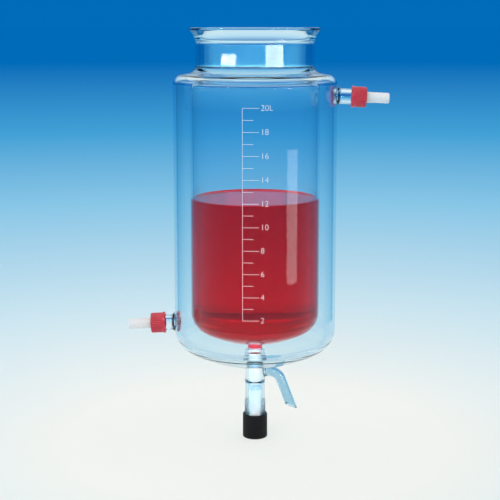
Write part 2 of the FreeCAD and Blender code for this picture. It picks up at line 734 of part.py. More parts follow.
valve_spindle = turned("valve_spindle", [
    (0, -spindle_top),
    (s.spindle_radius - s.spindle_tip_round, -spindle_top),
    (s.spindle_radius, -spindle_top - s.spindle_tip_round, -s.spindle_tip_round),
    (s.spindle_radius, groove_half - tip_seal_depth),
    (seat_groove, groove_half - tip_seal_depth),
    (seat_groove, -groove_half - tip_seal_depth),
    (s.spindle_radius, -groove_half - tip_seal_depth),
    (s.spindle_radius, lip_top + s.seat_clearance),
    (s.lip_seal_waist, lip_top + s.seat_clearance),
    (s.lip_seal_waist, lip_bottom - s.seat_clearance),
    (s.spindle_radius, lip_bottom - s.seat_clearance),
    (s.spindle_radius, groove_half - wiper_depth),
    (wiper_groove, groove_half - wiper_depth),
    (wiper_groove, -groove_half - wiper_depth),
    (s.spindle_radius, -groove_half - wiper_depth),
    (s.spindle_radius, -shaft_depth),
    (s.stem_radius, -shaft_depth),
    (s.stem_radius, s.seat_clearance - clip_top),
    (s.stem_radius - s.clip_groove, s.seat_clearance - clip_top),
    (s.stem_radius - s.clip_groove, -clip_foot - s.seat_clearance),
    (s.stem_radius, -clip_foot - s.seat_clearance),
    (s.stem_radius, s.clip_groove / 2 - stem_depth),
    (s.stem_radius - s.clip_groove / 2, -stem_depth),
    (0, -stem_depth)])
tip_seal_ring = ring_seal("tip_seal_ring", seat_seal_radius, s.seal_wire, -tip_seal_depth)
wiper_ring = ring_seal("spindle_wiper_ring", wiper_radius, s.seal_wire, -wiper_depth)

lip_outside = s.guide_bore - s.running_clearance
spindle_lip_seal = turned("spindle_lip_seal", [
    (s.lip_seal_waist + s.seat_clearance, lip_bottom),
    (lip_outside - s.lip_relief / 2, lip_bottom),
    (lip_outside, lip_bottom + s.lip_relief / 2),
    (lip_outside, lip_bottom + s.lip_length_each),
    (lip_outside - s.lip_relief, lip_bottom + s.lip_length_each + s.lip_relief),
    (lip_outside - s.lip_relief, lip_top - s.lip_length_each - s.lip_relief),
    (lip_outside, lip_top - s.lip_length_each),
    (lip_outside, lip_top - s.lip_relief / 2),
    (lip_outside - s.lip_relief / 2, lip_top),
    (s.lip_seal_waist + s.seat_clearance, lip_top)])

# Knob, thrust washer and retaining clip
stem_hole = s.stem_radius + s.thread_clearance
knob_bore = s.thread_radius + s.thread_clearance
knob_top = barrel_depth - s.knob_cover
knob_depth = floor_foot + s.recess_depth
valve_knob = ribbed(turned("valve_knob", [
    (knob_bore + s.knob_edge, -knob_top),
    (s.knob_radius - s.knob_edge, -knob_top),
    (s.knob_radius, -knob_top - s.knob_edge),
    (s.knob_radius, s.knob_round - knob_depth),
    (s.knob_radius - s.knob_round, -knob_depth, -s.knob_round),
    (s.knob_recess, -knob_depth),
    (s.knob_recess, -floor_foot),
    (stem_hole, -floor_foot),
    (stem_hole, -floor_top),
    (knob_bore, -floor_top),
    (knob_bore, -knob_top - s.knob_edge)]),
    s.knob_groove, s.knob_radius, -knob_top - s.rib_margin,
    knob_depth - knob_top - 2 * s.rib_margin, s.knob_ribs)
thrust_washer = tube("thrust_washer", s.washer_radius, stem_hole, -washer_foot,
                     -shaft_depth - s.seat_clearance)
retaining_clip = tube("retaining_clip", s.clip_radius,
                      s.stem_radius - s.clip_groove + s.seat_clearance, -clip_foot, -clip_top)
clip_opening = retaining_clip.newObject("PartDesign::Pocket", "clip_opening")
clip_sketch = new_sketch(retaining_clip, "XY_Plane", "clip_opening_outline")
draw(clip_sketch, [(0, -s.clip_gap / 2), (s.clip_radius * 2, -s.clip_gap / 2),
                   (s.clip_radius * 2, s.clip_gap / 2), (0, s.clip_gap / 2)])
clip_opening.Profile = clip_sketch
clip_opening.setExpression("Length", (knob_depth * 1.1).text)
retaining_clip.Tip = clip_opening

PIECES = [neck_flange, jacket_shoulder, jacket_wall, jacket_bottom, vessel_shoulder,
          vessel_wall, vessel_bottom, outlet_neck, valve_barrel, drain_spout, *hose_pieces,
          valve_spindle, tip_seal_ring, spindle_lip_seal, wiper_ring, valve_knob,
          thrust_washer, retaining_clip]

doc.recompute()


def check_document():
    """Stop if any object failed or any piece isn't one valid solid."""
    for item in doc.Objects:
        if "Invalid" in item.State or "Error" in item.State:
            raise RuntimeError(f"{item.Name} failed: {item.State}")
    for piece in PIECES:
        shape = piece.Shape
        if shape.isNull() or not shape.isValid() or len(shape.Solids) != 1:
            raise RuntimeError(f"{piece.Label} isn't one valid solid")


check_document()
os.makedirs("parts", exist_ok=True)
for piece in PIECES:
    piece.Shape.exportStep(f"parts/{piece.Label}.step")
    box = piece.Shape.BoundBox
    print(f"{piece.Label:20s} {piece.Shape.Volume / 1000:9.2f} cm3  "
          f"x {box.XMin:7.1f} {box.XMax:7.1f}  z {box.ZMin:7.1f} {box.ZMax:7.1f}")
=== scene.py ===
# %% [markdown]
# A jacketed glass vessel
#
# A 20 litre vessel blown from clear glass, with a second glass wall round it. Heating or
# cooling fluid flows between the two walls, in at one screwed hose connection and out at the
# other. A valve with a white plastic spindle and a black knob closes the outlet at the bottom.
#
# Nearly everything here is turned, as it is on a glassblower's lathe, so this lesson builds
# one good lathe function and then spends its care on outlines and finishes. The frame is the
# engineering model: it gives the bodies that the pieces ride on, and their outer sizes.

# %% The frame
import math

import bmesh
import bpy
from mathutils import Matrix, Vector


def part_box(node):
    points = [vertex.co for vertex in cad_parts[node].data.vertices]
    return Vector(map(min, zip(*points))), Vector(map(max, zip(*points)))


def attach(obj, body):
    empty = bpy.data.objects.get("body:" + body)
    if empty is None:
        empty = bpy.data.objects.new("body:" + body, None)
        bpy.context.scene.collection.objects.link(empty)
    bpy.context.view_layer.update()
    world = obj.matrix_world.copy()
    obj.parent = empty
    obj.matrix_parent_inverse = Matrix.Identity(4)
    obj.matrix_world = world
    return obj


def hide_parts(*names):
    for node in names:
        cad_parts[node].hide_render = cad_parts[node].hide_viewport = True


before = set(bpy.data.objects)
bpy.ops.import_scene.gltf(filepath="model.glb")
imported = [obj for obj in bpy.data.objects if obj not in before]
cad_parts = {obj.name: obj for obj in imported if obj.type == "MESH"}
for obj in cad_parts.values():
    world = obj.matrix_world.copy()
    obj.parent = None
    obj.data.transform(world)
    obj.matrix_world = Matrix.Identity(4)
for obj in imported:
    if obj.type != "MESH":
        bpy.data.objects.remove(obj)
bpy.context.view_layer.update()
scene = bpy.context.scene
MM = 0.001

# %% [markdown]
# Sizes
#
# The outer sizes come from the frame's boxes, so that the glass ends where the engineering
# model ends. What a box can't tell, such as a wall or a rounding, is named here in metres.


# %% Sizes
def lowest(node):
    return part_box(node)[0]


def highest(node):
    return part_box(node)[1]


FLANGE_RADIUS = highest("neck_flange").x
NECK_FOOT = lowest("neck_flange").z
JACKET_RADIUS = highest("jacket_wall").y
VESSEL_RADIUS = highest("vessel_wall").y
OUTLET_RADIUS = highest("outlet_neck").y
OUTLET_TOP = highest("outlet_neck").z
BARREL_TOP = highest("valve_barrel").z
BARREL_FOOT = lowest("valve_barrel").z
KNOB_TOP = highest("valve_knob").z
KNOB_FOOT = lowest("valve_knob").z
KNOB_RADIUS = highest("valve_knob").y

NECK_BORE = 107 * MM
NECK_WALL = 7 * MM
NECK_RADIUS = NECK_BORE + NECK_WALL
JACKET_WALL = 7 * MM
VESSEL_WALL = 5 * MM
OUTLET_BORE = 12.3 * MM
print(f"flange {2000 * FLANGE_RADIUS:.0f} mm, jacket {2000 * JACKET_RADIUS:.0f} mm across")

# %% [markdown]
# Shader maths as plain Python
#
# A shader is a graph of nodes, but a formula is easier to read as a formula. Signal wraps one
# output of a node and takes part in Python expressions: each operator adds the Math node that
# does the work. Any other node comes from Finish.add, which sets the node's own settings first
# and then the values or links of its inputs.


# %% Signals and finishes
def operator(operation, reflected=False):
    """A method that adds a Math node, with its operands in the order that was written."""
    def method(self, other):
        return self.maths(operation, *((other, self) if reflected else (self, other)))
    return method


class Signal:
    """One output of a node, used like a number in an expression."""

    def __init__(self, finish, socket):
        self.finish = finish
        self.socket = socket

    def maths(self, operation, *values):
        return self.finish.add("ShaderNodeMath", {"operation": operation},
                               dict(enumerate(values)))

    __add__, __radd__ = operator("ADD"), operator("ADD", True)
    __sub__, __rsub__ = operator("SUBTRACT"), operator("SUBTRACT", True)
    __mul__, __rmul__ = operator("MULTIPLY"), operator("MULTIPLY", True)
    __truediv__, __rtruediv__ = operator("DIVIDE"), operator("DIVIDE", True)


class Finish:
    """A material, or the world, whose nodes are written as expressions."""

    def __init__(self, name, owner=None):
        self.owner = owner or bpy.data.materials.new(name)
        self.owner.use_nodes = True
        self.tree = self.owner.node_tree
        self.tree.nodes.clear()

    def add(self, kind, settings=None, inputs=None, output=0):
        """Add a node and give back one of its outputs as a Signal."""
        node = self.tree.nodes.new(kind)
        for name, value in (settings or {}).items():
            if name == "stops":
                set_stops(node.color_ramp, value)
            else:
                setattr(node, name, value)
        for name, value in (inputs or {}).items():
            if isinstance(value, Signal):
                self.tree.links.new(value.socket, node.inputs[name])
            else:
                node.inputs[name].default_value = value
        return Signal(self, node.outputs[output]) if len(node.outputs) else None

    def shader(self, **inputs):
        """A Principled shader. Underscores in the names stand for spaces."""
        named = {name.replace("_", " "): value for name, value in inputs.items()}
        return self.add("ShaderNodeBsdfPrincipled", inputs=named)

    def surface(self, shader, volume=None):
        inputs = {"Surface": shader}
        if volume is not None:
            inputs["Volume"] = volume
        self.add("ShaderNodeOutputMaterial", inputs=inputs)
        return self.owner

    def place(self):
        """Where a point of the piece is, in metres, before any pose."""
        return self.add("ShaderNodeTexCoord", output="Object")

    def along(self, axis, vector=None):
        """One coordinate of a point of the piece, or of another vector."""
        return self.add("ShaderNodeSeparateXYZ", inputs={"Vector": vector or self.place()},
                        output=axis)

    def past(self, distance, over):
        """0 before a border and 1 past it, with a soft change over a short way."""
        return self.add("ShaderNodeMath", {"operation": "MULTIPLY", "use_clamp": True},
                        {0: distance, 1: 1.0 / over})

    def noise(self, scale, detail=2.0):
        return self.add("ShaderNodeTexNoise", {"noise_dimensions": "3D"},
                        {"Vector": self.place(), "Scale": scale, "Detail": detail})

    def ramp(self, factor, *stops):
        return self.add("ShaderNodeValToRGB", {"stops": stops}, {"Fac": factor}, "Color")

    def bump(self, height, distance):
        return self.add("ShaderNodeBump", output="Normal",
                        inputs={"Height": height, "Distance": distance, "Strength": 1.0})


def set_stops(ramp, stops):
    while len(ramp.elements) < len(stops):
        ramp.elements.new(1.0)
    for element, (position, colour) in zip(ramp.elements, stops):
        element.position = position
        element.color = (*colour, 1.0)


# %% [markdown]
# Clear glass
#
# Borosilicate glass bends light with an index of 1.47. Seen through its thickness it is
# colourless, but along a wall, where light runs through centimetres of it, a cool blue shows.
# A volume that absorbs red does that by itself: edges turn blue and faces stay clear. The thin
# drain spout needs help to stand out from the white floor, so its surface is tinted blue, and
# the valve barrel's by a trace. Specular Tint keeps the mirror images in the glass faint.


# %% Glass
BLUE_GLASS_TOP = -660 * MM
BLUE_GLASS_SIDE = 20.5 * MM


def clear_glass():
    finish = Finish("clear_glass")
    below = finish.past(BLUE_GLASS_TOP - finish.along("Z"), 5 * MM)
    aside = finish.past(finish.along("X") - BLUE_GLASS_SIDE, 2.5 * MM)
    tone = finish.ramp(below * (aside * 0.85 + 0.15), (0.0, (1.0, 1.0, 1.0)),
                       (1.0, (0.64, 0.81, 0.90)))
    shader = finish.shader(Base_Color=tone, Roughness=0.0, IOR=1.47,
                           Transmission_Weight=1.0, Specular_Tint=(0.22, 0.22, 0.22, 1.0))
    tint = finish.add("ShaderNodeVolumeAbsorption",
                      inputs={"Color": (0.05, 0.65, 0.90, 1.0), "Density": 22.0})
    return finish.surface(shader, tint)


GLASS = clear_glass()

# %% [markdown]
# The red liquid
#
# Dyed water has an index of 1.33. Its volume lets red through and absorbs green and blue, so it
# is darker where it is deeper. Its surface is red as well, and a tenth of the light scatters
# there instead of passing, which gives the body of colour that dye has.


# %% Liquid
def dyed_water():
    finish = Finish("dyed_water")
    shader = finish.shader(Base_Color=(0.95, 0.02, 0.05, 1.0), Roughness=0.0, IOR=1.33,
                           Transmission_Weight=0.90, Specular_Tint=(0.12, 0.12, 0.12, 1.0))
    dye = finish.add("ShaderNodeVolumeAbsorption",
                     inputs={"Color": (0.96, 0.20, 0.24, 1.0), "Density": 13.0})
    return finish.surface(shader, dye)


LIQUID = dyed_water()

# %% [markdown]
# Plastics and rubber
#
# Moulded plastic isn't one flat colour: its skin has a fine grain, a slow drift of tone and a
# roughness that changes where hands have polished it. One recipe makes all of them from a
# colour, how far the tone drifts and how glossy the skin is.


# %% Moulded finishes
def moulded(name, colour, drift=0.12, gloss=0.38, grain=0.00002, under=0.0, coat=0.0,
            shine=0.5):
    """A moulded plastic: tone drift, fine grain, and light that scatters under the skin."""
    finish = Finish(name)
    cloud = finish.noise(38.0, 3.0)
    dark = tuple(channel * (1 - drift) for channel in colour)
    pale = tuple(min(1.0, channel * (1 + drift)) for channel in colour)
    tone = finish.ramp(cloud, (0.3, dark), (0.7, pale))
    skin = finish.noise(2400.0, 2.0)
    wear = gloss + (cloud - 0.5) * 0.18
    shader = finish.shader(Base_Color=tone, Roughness=wear, IOR=1.5,
                           Specular_IOR_Level=shine,
                           Subsurface_Weight=under, Subsurface_Scale=0.002,
                           Coat_Weight=coat, Normal=finish.bump(skin, grain))
    return finish.surface(shader)


RED_PLASTIC = moulded("red_plastic", (0.58, 0.022, 0.048), gloss=0.34, coat=0.15)
WHITE_PLASTIC = moulded("white_fluoroplastic", (0.84, 0.84, 0.83), drift=0.03, gloss=0.42,
                        grain=0.00001, under=0.25)
PALE_SILICONE = moulded("pale_silicone", (0.50, 0.66, 0.80), drift=0.05, gloss=0.30,
                        grain=0.000005, under=0.4)
RED_RUBBER = moulded("red_rubber", (0.55, 0.008, 0.012), drift=0.08, gloss=0.3)
BLACK_PLASTIC = moulded("black_plastic", (0.006, 0.007, 0.008), drift=0.3, gloss=0.36,
                        shine=0.2)


# %% [markdown]
# Steel and print
#
# The retaining clip is ground spring steel. The scale is white ceramic ink, fired on, so it is
# matt and very slightly uneven.


# %% Steel and ink
def spring_steel():
    finish = Finish("spring_steel")
    scratches = finish.noise(900.0, 4.0)
    tone = finish.ramp(scratches, (0.3, (0.42, 0.43, 0.45)), (0.7, (0.62, 0.63, 0.65)))
    shader = finish.shader(Base_Color=tone, Metallic=1.0, Roughness=0.22 + scratches * 0.2,
                           Normal=finish.bump(scratches, 0.00001))
    return finish.surface(shader)


def fired_ink():
    finish = Finish("fired_ink")
    grain = finish.noise(1500.0, 2.0)
    tone = finish.ramp(grain, (0.25, (0.86, 0.87, 0.88)), (0.75, (0.97, 0.97, 0.97)))
    shader = finish.shader(Base_Color=tone, Roughness=0.55)
    return finish.surface(shader)


STEEL = spring_steel()
INK = fired_ink()
print("finishes:", ", ".join(material.name for material in bpy.data.materials))

# %% [markdown]
# The lathe
#
# An outline is a list of (radius, height) points. Round stretches are worked out from a
# centre, a radius and two angles, so that they are as smooth as the picture needs. The lathe
# carries the outline round the axis. A wave function may swell the radius with the angle and
# height, which turns the same lathe into one that cuts ribs and screw threads.


# %% The lathe
CRISP_ANGLE = 35.0


def arc(centre, radius, start, end, steps=10):
    """Points of a round stretch. Angles in degrees, counter-clockwise from outwards."""
    points = []
    for step in range(steps + 1):
        angle = math.radians(start + (end - start) * step / steps)
        points.append((centre[0] + radius * math.cos(angle),
                       centre[1] + radius * math.sin(angle)))
    return points


def ease(point, size, before, after, steps=4):
    """Round the corner at a point, between the directions of the points beside it."""
    corner = Vector(point)
    arrive = (Vector(before) - corner).normalized() * size
    leave = (Vector(after) - corner).normalized() * size
    curve = []
    for step in range(steps + 1):
        share = step / steps
        spot = corner + arrive * (1 - share) ** 2 + leave * share ** 2
        curve.append(tuple(spot))
    return curve


def eased(points, size, closed=True, steps=4):
    """An outline with every corner rounded by about the same size.

    An open outline keeps its two end points as they are.
    """
    result = []
    for index, point in enumerate(points):
        if not closed and index in (0, len(points) - 1):
            result.append(point)
            continue
        before, after = points[index - 1], points[(index + 1) % len(points)]
        room = min((Vector(before) - Vector(point)).length,
                   (Vector(after) - Vector(point)).length) * 0.45
        result += ease(point, min(size, room), before, after, steps)
    return result


def filled(points, spacing, margin=0.4 * MM):
    """More rows on long stretches, and one close to each of their ends.

    Shading blends the slopes of neighbouring rows. The close rows keep that blend short, so
    that a straight wall reflects and bends light as a straight wall does.
    """
    out = [points[0]]
    for (r0, z0), (r1, z1) in zip(points, points[1:]):
        length = math.hypot(r1 - r0, z1 - z0)
        shares = []
        if length > 6 * margin:
            inner = max(1, math.ceil(length / spacing))
            shares = [margin / length + (1 - 2 * margin / length) * k / inner
                      for k in range(inner + 1)]
        out += [(r0 + (r1 - r0) * t, z0 + (z1 - z0) * t) for t in shares + [1.0]]
    return out


def turn(outline, segments=96, wave=None, closed=True):
    """Points and faces of an outline carried round the axis.

    A closed outline makes a ring. An open one starts and ends on the axis, which closes it.
    """
    verts, faces = [], []
    count = len(outline)
    for segment in range(segments):
        angle = 2 * math.pi * segment / segments
        for radius, height in outline:
            out = radius + (wave(angle, radius, height) if wave else 0)
            verts.append((out * math.cos(angle), out * math.sin(angle), height))
    for segment in range(segments):
        here, there = segment * count, (segment + 1) % segments * count
        for step in range(count if closed else count - 1):
            up = (step + 1) % count
            faces.append((here + step, there + step, there + up, here + up))
    return verts, faces


def skin_mesh(verts, faces, hollow=False):
    """A work mesh of one closed skin. Its faces look out, or in if it lines a hollow."""
    work = bmesh.new()
    made = [work.verts.new(vert) for vert in verts]
    for face in faces:
        work.faces.new([made[index] for index in face])
    bmesh.ops.remove_doubles(work, verts=work.verts, dist=1e-7)
    bmesh.ops.dissolve_degenerate(work, edges=work.edges, dist=1e-7)
    bmesh.ops.recalc_face_normals(work, faces=work.faces)
    if hollow:
        bmesh.ops.reverse_faces(work, faces=work.faces)
    return work


def linked(name, data):
    """A new object that shows in the scene."""
    made = bpy.data.objects.new(name, data)
    scene.collection.objects.link(made)
    return made


def piece_of(name, skins, material, matrix=None):
    """One piece from closed skins, smooth shaded but crisp at its edges."""
    whole = bmesh.new()
    for skin in skins:
        step = bpy.data.meshes.new(name)
        skin.to_mesh(step)
        skin.free()
        whole.from_mesh(step)
        bpy.data.meshes.remove(step)
    mesh = bpy.data.meshes.new(name)
    whole.to_mesh(mesh)
    whole.free()
    mesh.shade_smooth()
    mesh.set_sharp_from_angle(angle=math.radians(CRISP_ANGLE))
    mesh.materials.append(material)
    piece = linked(name, mesh)
    if matrix is not None:
        piece.matrix_world = matrix
    return piece


def turned_piece(name, outline, material, segments=96, wave=None, closed=True, matrix=None):
    skin = skin_mesh(*turn(outline, segments, wave, closed))
    return piece_of(name, [skin], material, matrix)


def screw_wave(pitch, depth, top, foot):
    """A right-hand round thread between two heights, faded out at both ends."""
    def wave(angle, radius, height):
        if not foot <= height <= top:
            return 0.0
        fade = min(1.0, (top - height) / pitch, (height - foot) / pitch)
        turns = height / pitch - angle / (2 * math.pi)
        return -depth * fade * (0.5 - 0.5 * math.cos(2 * math.pi * turns))
    return wave


def rib_wave(count, depth, top, foot, fade):
    """Upright ribs between two heights, with rounded ends."""
    def wave(angle, radius, height):
        inside = min((top - height) / fade, (height - foot) / fade)
        if inside <= 0:
            return 0.0
        ridge = abs(math.sin(count * angle / 2)) ** 0.6
        return -depth * min(1.0, inside) * (1 - ridge)
    return wave


# %% [markdown]
# The fused glass
#
# On the real vessel all the glass is melted into one piece, so no joint shows in it. Separate
# glass meshes that only touch would show every joint, because light bends at each surface.
# So the glass is one mesh here: an outer skin, which runs from the flange over the jacket to
# the valve barrel and back up inside the vessel, and the closed space between the walls.


# %% Outline values of the glass
FLANGE_EDGE = 2.2 * MM
FLANGE_RIM = 4.5 * MM
RIM_ROUND = 1.6 * MM
CONE_FOOT = -19 * MM
CONE_ROUND = 13 * MM
NECK_LIP = 1.2 * MM
JACKET_TOP = -108 * MM
JACKET_DEPTH = -583 * MM
JACKET_KNUCKLE = 48 * MM
JACKET_CROWN = 275 * MM
SHOULDER_ROUND = 20 * MM
SHOULDER_SLOPE = 10.0
COLLAR_ROUND = 14 * MM
VESSEL_TOP = -120 * MM
VESSEL_DEPTH = -551 * MM
VESSEL_KNUCKLE = 42 * MM
VESSEL_CROWN = 220 * MM
RIPPLE = 0.2 * MM
OUTLET_BLEND = 6 * MM
OUTLET_LIP = 4 * MM
BARREL_BLEND = 5 * MM
VESSEL_NECK_FOOT = highest("vessel_shoulder").z
CHAMBER_RADIUS = 20.2 * MM
CHAMBER_WALL = 2.7 * MM
CHAMBER_DEPTH = -691 * MM
GUIDE_RADIUS = 19.3 * MM
GUIDE_BORE = 13.45 * MM
GUIDE_TOP = CHAMBER_DEPTH - 5 * MM
THREAD_TOP = -731 * MM
THREAD_RADIUS = highest("valve_barrel").y


def knuckle_arc(centre, radius, end, ripple, steps=36, waves=3):
    """The tight stretch of a dished bottom, with the faint ripples that a flame leaves."""
    points = []
    for step in range(steps + 1):
        share = step / steps
        bent = radius + ripple * math.sin(2 * math.pi * waves * share) * math.sin(math.pi * share)
        angle = math.radians(end * share)
        points.append((centre[0] + bent * math.cos(angle), centre[1] + bent * math.sin(angle)))
    return points


def dish_centre(radius, knuckle, crown, depth):
    return depth + math.sqrt((crown - knuckle) ** 2 - (radius - knuckle) ** 2)


def dish(radius, knuckle, crown, depth, stop, ripple=0.0):
    """A dished bottom from the wall's end in to a radius, as points going inwards."""
    centre, run = dish_centre(radius, knuckle, crown, depth), radius - knuckle
    corner = math.degrees(math.atan2(depth - centre, run))
    end = math.degrees(-math.acos(stop / crown))
    return (knuckle_arc((run, depth), knuckle, corner, ripple)
            + arc((0, centre), crown, corner, end, 24)[1:])


def blend_to_tube(tube, blend, radius, knuckle, crown, depth, ripple=0.0):
    """A dished bottom that is drawn into a tube on its axis, as points going inwards."""
    centre = dish_centre(radius, knuckle, crown, depth)
    height = centre - math.sqrt((crown + blend) ** 2 - (tube + blend) ** 2)
    lean = math.degrees(math.atan2(centre - height, -(tube + blend)))
    touch = crown * (tube + blend) / (crown + blend)
    return (dish(radius, knuckle, crown, depth, touch, ripple=ripple)
            + arc((tube + blend, height), blend, lean, 180, 10)[1:])


def shoulder(rounding, wall_radius):
    """The jacket's shoulder: where it leaves the wall and where its slope starts."""
    centre = (wall_radius - rounding, JACKET_TOP)
    return arc(centre, rounding, 0, 90 - SHOULDER_SLOPE, 12)


def widening(narrow, wide):
    """Two equal arcs that widen the neck to the vessel, from the neck downwards."""
    step, fall = wide - narrow, VESSEL_NECK_FOOT - VESSEL_TOP
    bend = (step ** 2 + fall ** 2) / (4 * step)
    sweep = math.degrees(math.asin(fall / 2 / bend))
    upper = arc((narrow + bend, VESSEL_NECK_FOOT), bend, 180, 180 + sweep, 8)
    lower = arc((wide - bend, VESSEL_TOP), bend, sweep, 0, 8)
    return upper + lower[1:]


def slope_height(radius, rounding, wall_radius):
    """Height of the shoulder's slope at a radius."""
    touch_r, touch_z = shoulder(rounding, wall_radius)[-1]
    return touch_z + (touch_r - radius) * math.tan(math.radians(SHOULDER_SLOPE))


# %% Outer skin of the glass
def outer_skin():
    """Down the outside from the flange, round the barrel's end and up inside the vessel."""
    edge_centre = (FLANGE_RADIUS - FLANGE_EDGE, -FLANGE_EDGE)
    flange = ([(NECK_BORE + NECK_LIP, 0.0)] + arc(edge_centre, FLANGE_EDGE, 90, 0, 8)
              + ease((FLANGE_RADIUS, -FLANGE_RIM), RIM_ROUND, (FLANGE_RADIUS, 0.0),
                     (NECK_RADIUS, CONE_FOOT))
              + ease((NECK_RADIUS, CONE_FOOT), CONE_ROUND, (FLANGE_RADIUS, -FLANGE_RIM),
                     (NECK_RADIUS, NECK_FOOT), 14))
    lean = math.radians(SHOULDER_SLOPE)
    collar_r = NECK_RADIUS + COLLAR_ROUND
    collar_z = (slope_height(collar_r, SHOULDER_ROUND, JACKET_RADIUS)
                + COLLAR_ROUND / math.cos(lean))
    collar = arc((collar_r, collar_z), COLLAR_ROUND, 180, 270 - SHOULDER_SLOPE, 10)
    wall = (shoulder(SHOULDER_ROUND, JACKET_RADIUS)[::-1] + [(JACKET_RADIUS, JACKET_DEPTH)])
    bottom = blend_to_tube(CHAMBER_RADIUS, BARREL_BLEND, JACKET_RADIUS, JACKET_KNUCKLE,
                           JACKET_CROWN, JACKET_DEPTH)[1:]
    chamber_bore = CHAMBER_RADIUS - CHAMBER_WALL
    barrel = eased([bottom[-1], (CHAMBER_RADIUS, CHAMBER_DEPTH), (GUIDE_RADIUS, GUIDE_TOP),
                    (GUIDE_RADIUS, THREAD_TOP), (THREAD_RADIUS, THREAD_TOP - 2 * MM),
                    (THREAD_RADIUS, BARREL_FOOT), (GUIDE_BORE, BARREL_FOOT),
                    (GUIDE_BORE, GUIDE_TOP), (chamber_bore, CHAMBER_DEPTH),
                    (chamber_bore, BARREL_TOP)], 2.0 * MM, closed=False)[1:-1]
    round_out = CHAMBER_RADIUS - OUTLET_RADIUS
    round_in = round_out - CHAMBER_WALL
    chamber = arc((CHAMBER_RADIUS - round_out, BARREL_TOP - round_out), round_in, 0, 90, 6)
    throat_top = BARREL_TOP - CHAMBER_WALL
    throat = ease((OUTLET_BORE, throat_top), 1.0 * MM, (CHAMBER_RADIUS, throat_top),
                  (OUTLET_BORE, OUTLET_TOP))
    inside = blend_to_tube(OUTLET_BORE, OUTLET_LIP, VESSEL_RADIUS - VESSEL_WALL,
                           VESSEL_KNUCKLE - VESSEL_WALL, VESSEL_CROWN - VESSEL_WALL,
                           VESSEL_DEPTH)[::-1]
    neck = widening(NECK_BORE, VESSEL_RADIUS - VESSEL_WALL)[::-1]
    lip = [(NECK_BORE, -NECK_LIP)]
    return (flange + collar + wall + bottom + barrel + chamber + throat + inside + neck
            + lip)


def jacket_space():
    """The space between the walls, down the inner vessel and back up the jacket."""
    vessel = widening(NECK_RADIUS, VESSEL_RADIUS)
    bottom = blend_to_tube(OUTLET_RADIUS, OUTLET_BLEND, VESSEL_RADIUS, VESSEL_KNUCKLE,
                           VESSEL_CROWN, VESSEL_DEPTH, RIPPLE)
    round_out = CHAMBER_RADIUS - OUTLET_RADIUS
    foot = ease((OUTLET_RADIUS, BARREL_TOP), 1.2 * MM, (OUTLET_RADIUS, OUTLET_TOP),
                (CHAMBER_RADIUS, BARREL_TOP))
    bead = arc((OUTLET_RADIUS, BARREL_TOP - round_out), round_out, 80, 0, 8)
    jacket = dish(JACKET_RADIUS - JACKET_WALL, JACKET_KNUCKLE - JACKET_WALL,
                  JACKET_CROWN - JACKET_WALL, JACKET_DEPTH, CHAMBER_RADIUS + 3 * MM,
                  ripple=RIPPLE)[::-1]
    heel = ease((CHAMBER_RADIUS, jacket[0][1]), 2.5 * MM, (CHAMBER_RADIUS, BARREL_TOP),
                jacket[0])
    inner_round = SHOULDER_ROUND - JACKET_WALL
    top = shoulder(inner_round, JACKET_RADIUS - JACKET_WALL)
    root_r = NECK_RADIUS + 1 * MM
    root = (root_r, slope_height(root_r, inner_round, JACKET_RADIUS - JACKET_WALL))
    return vessel + bottom + foot + bead + heel + jacket + top + [root]


def with_rows(outline, top, foot, radius, step):
    """Close rows of points down one upright stretch, so that what joins or cuts it is smooth."""
    rows = max(1, round((top - foot) / step))
    close = [(radius, top - (top - foot) * row / rows) for row in range(rows + 1)]
    here = [abs(r - radius) < 0.02 * MM for r, _ in outline]
    above = max(i for i, (_, z) in enumerate(outline) if here[i] and z > top)
    below = min(i for i, (_, z) in enumerate(outline) if here[i] and z < foot and i > above)
    return outline[:above + 1] + close + outline[below:]


# %% [markdown]
# Hose ports
#
# Each port is a glass tube drawn out of the jacket with a flare, and a screw thread on its
# end. The flare's foot has to follow the jacket's round wall, so its points sink by the
# distance that the wall falls away beside the port's axis.

# %% Hose ports
PORT_SLOPE = math.radians(2.6)
PORT_RADIUS = 14.7 * MM
PORT_BORE = 10 * MM
PORT_FLARE = 20.5 * MM
FLARE_LENGTH = 9 * MM
PORT_THREAD = 16 * MM
PORT_RIM = 17.2 * MM
PORT_ROOT = -4 * MM
# Each port's side, its depth below the flange and the distance from the wall to its cap.
PORTS = {"upper": (1, 130.1 * MM, 27.6 * MM), "lower": (-1, 574.3 * MM, 18.6 * MM)}


def along_port(which, along):
    """The place and direction of a piece that stands on a port's axis."""
    side, depth, _ = PORTS[which]
    spot = Vector((side * (JACKET_RADIUS + along * math.cos(PORT_SLOPE)), 0.0,
                   -depth - along * math.sin(PORT_SLOPE)))
    turned_by = Matrix.Rotation(side * (math.pi / 2 + PORT_SLOPE), 4, "Y")
    return Matrix.Translation(spot) @ turned_by


def port_outline(reach):
    """A port's outside, from its root in the jacket's wall to its ground rim."""
    rise = PORT_FLARE - PORT_RADIUS
    bend = (rise ** 2 + FLARE_LENGTH ** 2) / (2 * rise)
    start = math.degrees(math.asin(FLARE_LENGTH / bend))
    flare = arc((PORT_RADIUS + bend, FLARE_LENGTH), bend, 180 + start, 180, 14)
    rim = reach + PORT_RIM
    end = eased([flare[-1], (PORT_RADIUS, reach + 1 * MM), (PORT_THREAD, reach + 2.5 * MM),
                 (PORT_THREAD, rim), (0.0, rim)], 1.0 * MM, closed=False)
    return [(0.0, PORT_ROOT), (PORT_FLARE, PORT_ROOT)] + flare + end[1:]


def sunk(vert):
    """Sink the flare's foot with the wall that it stands on."""
    x, y, z = vert
    fall = JACKET_RADIUS - math.sqrt(JACKET_RADIUS ** 2 - y ** 2)
    share = min(1.0, max(0.0, 1.0 - z / FLARE_LENGTH))
    return x, y, z - fall * share ** 2


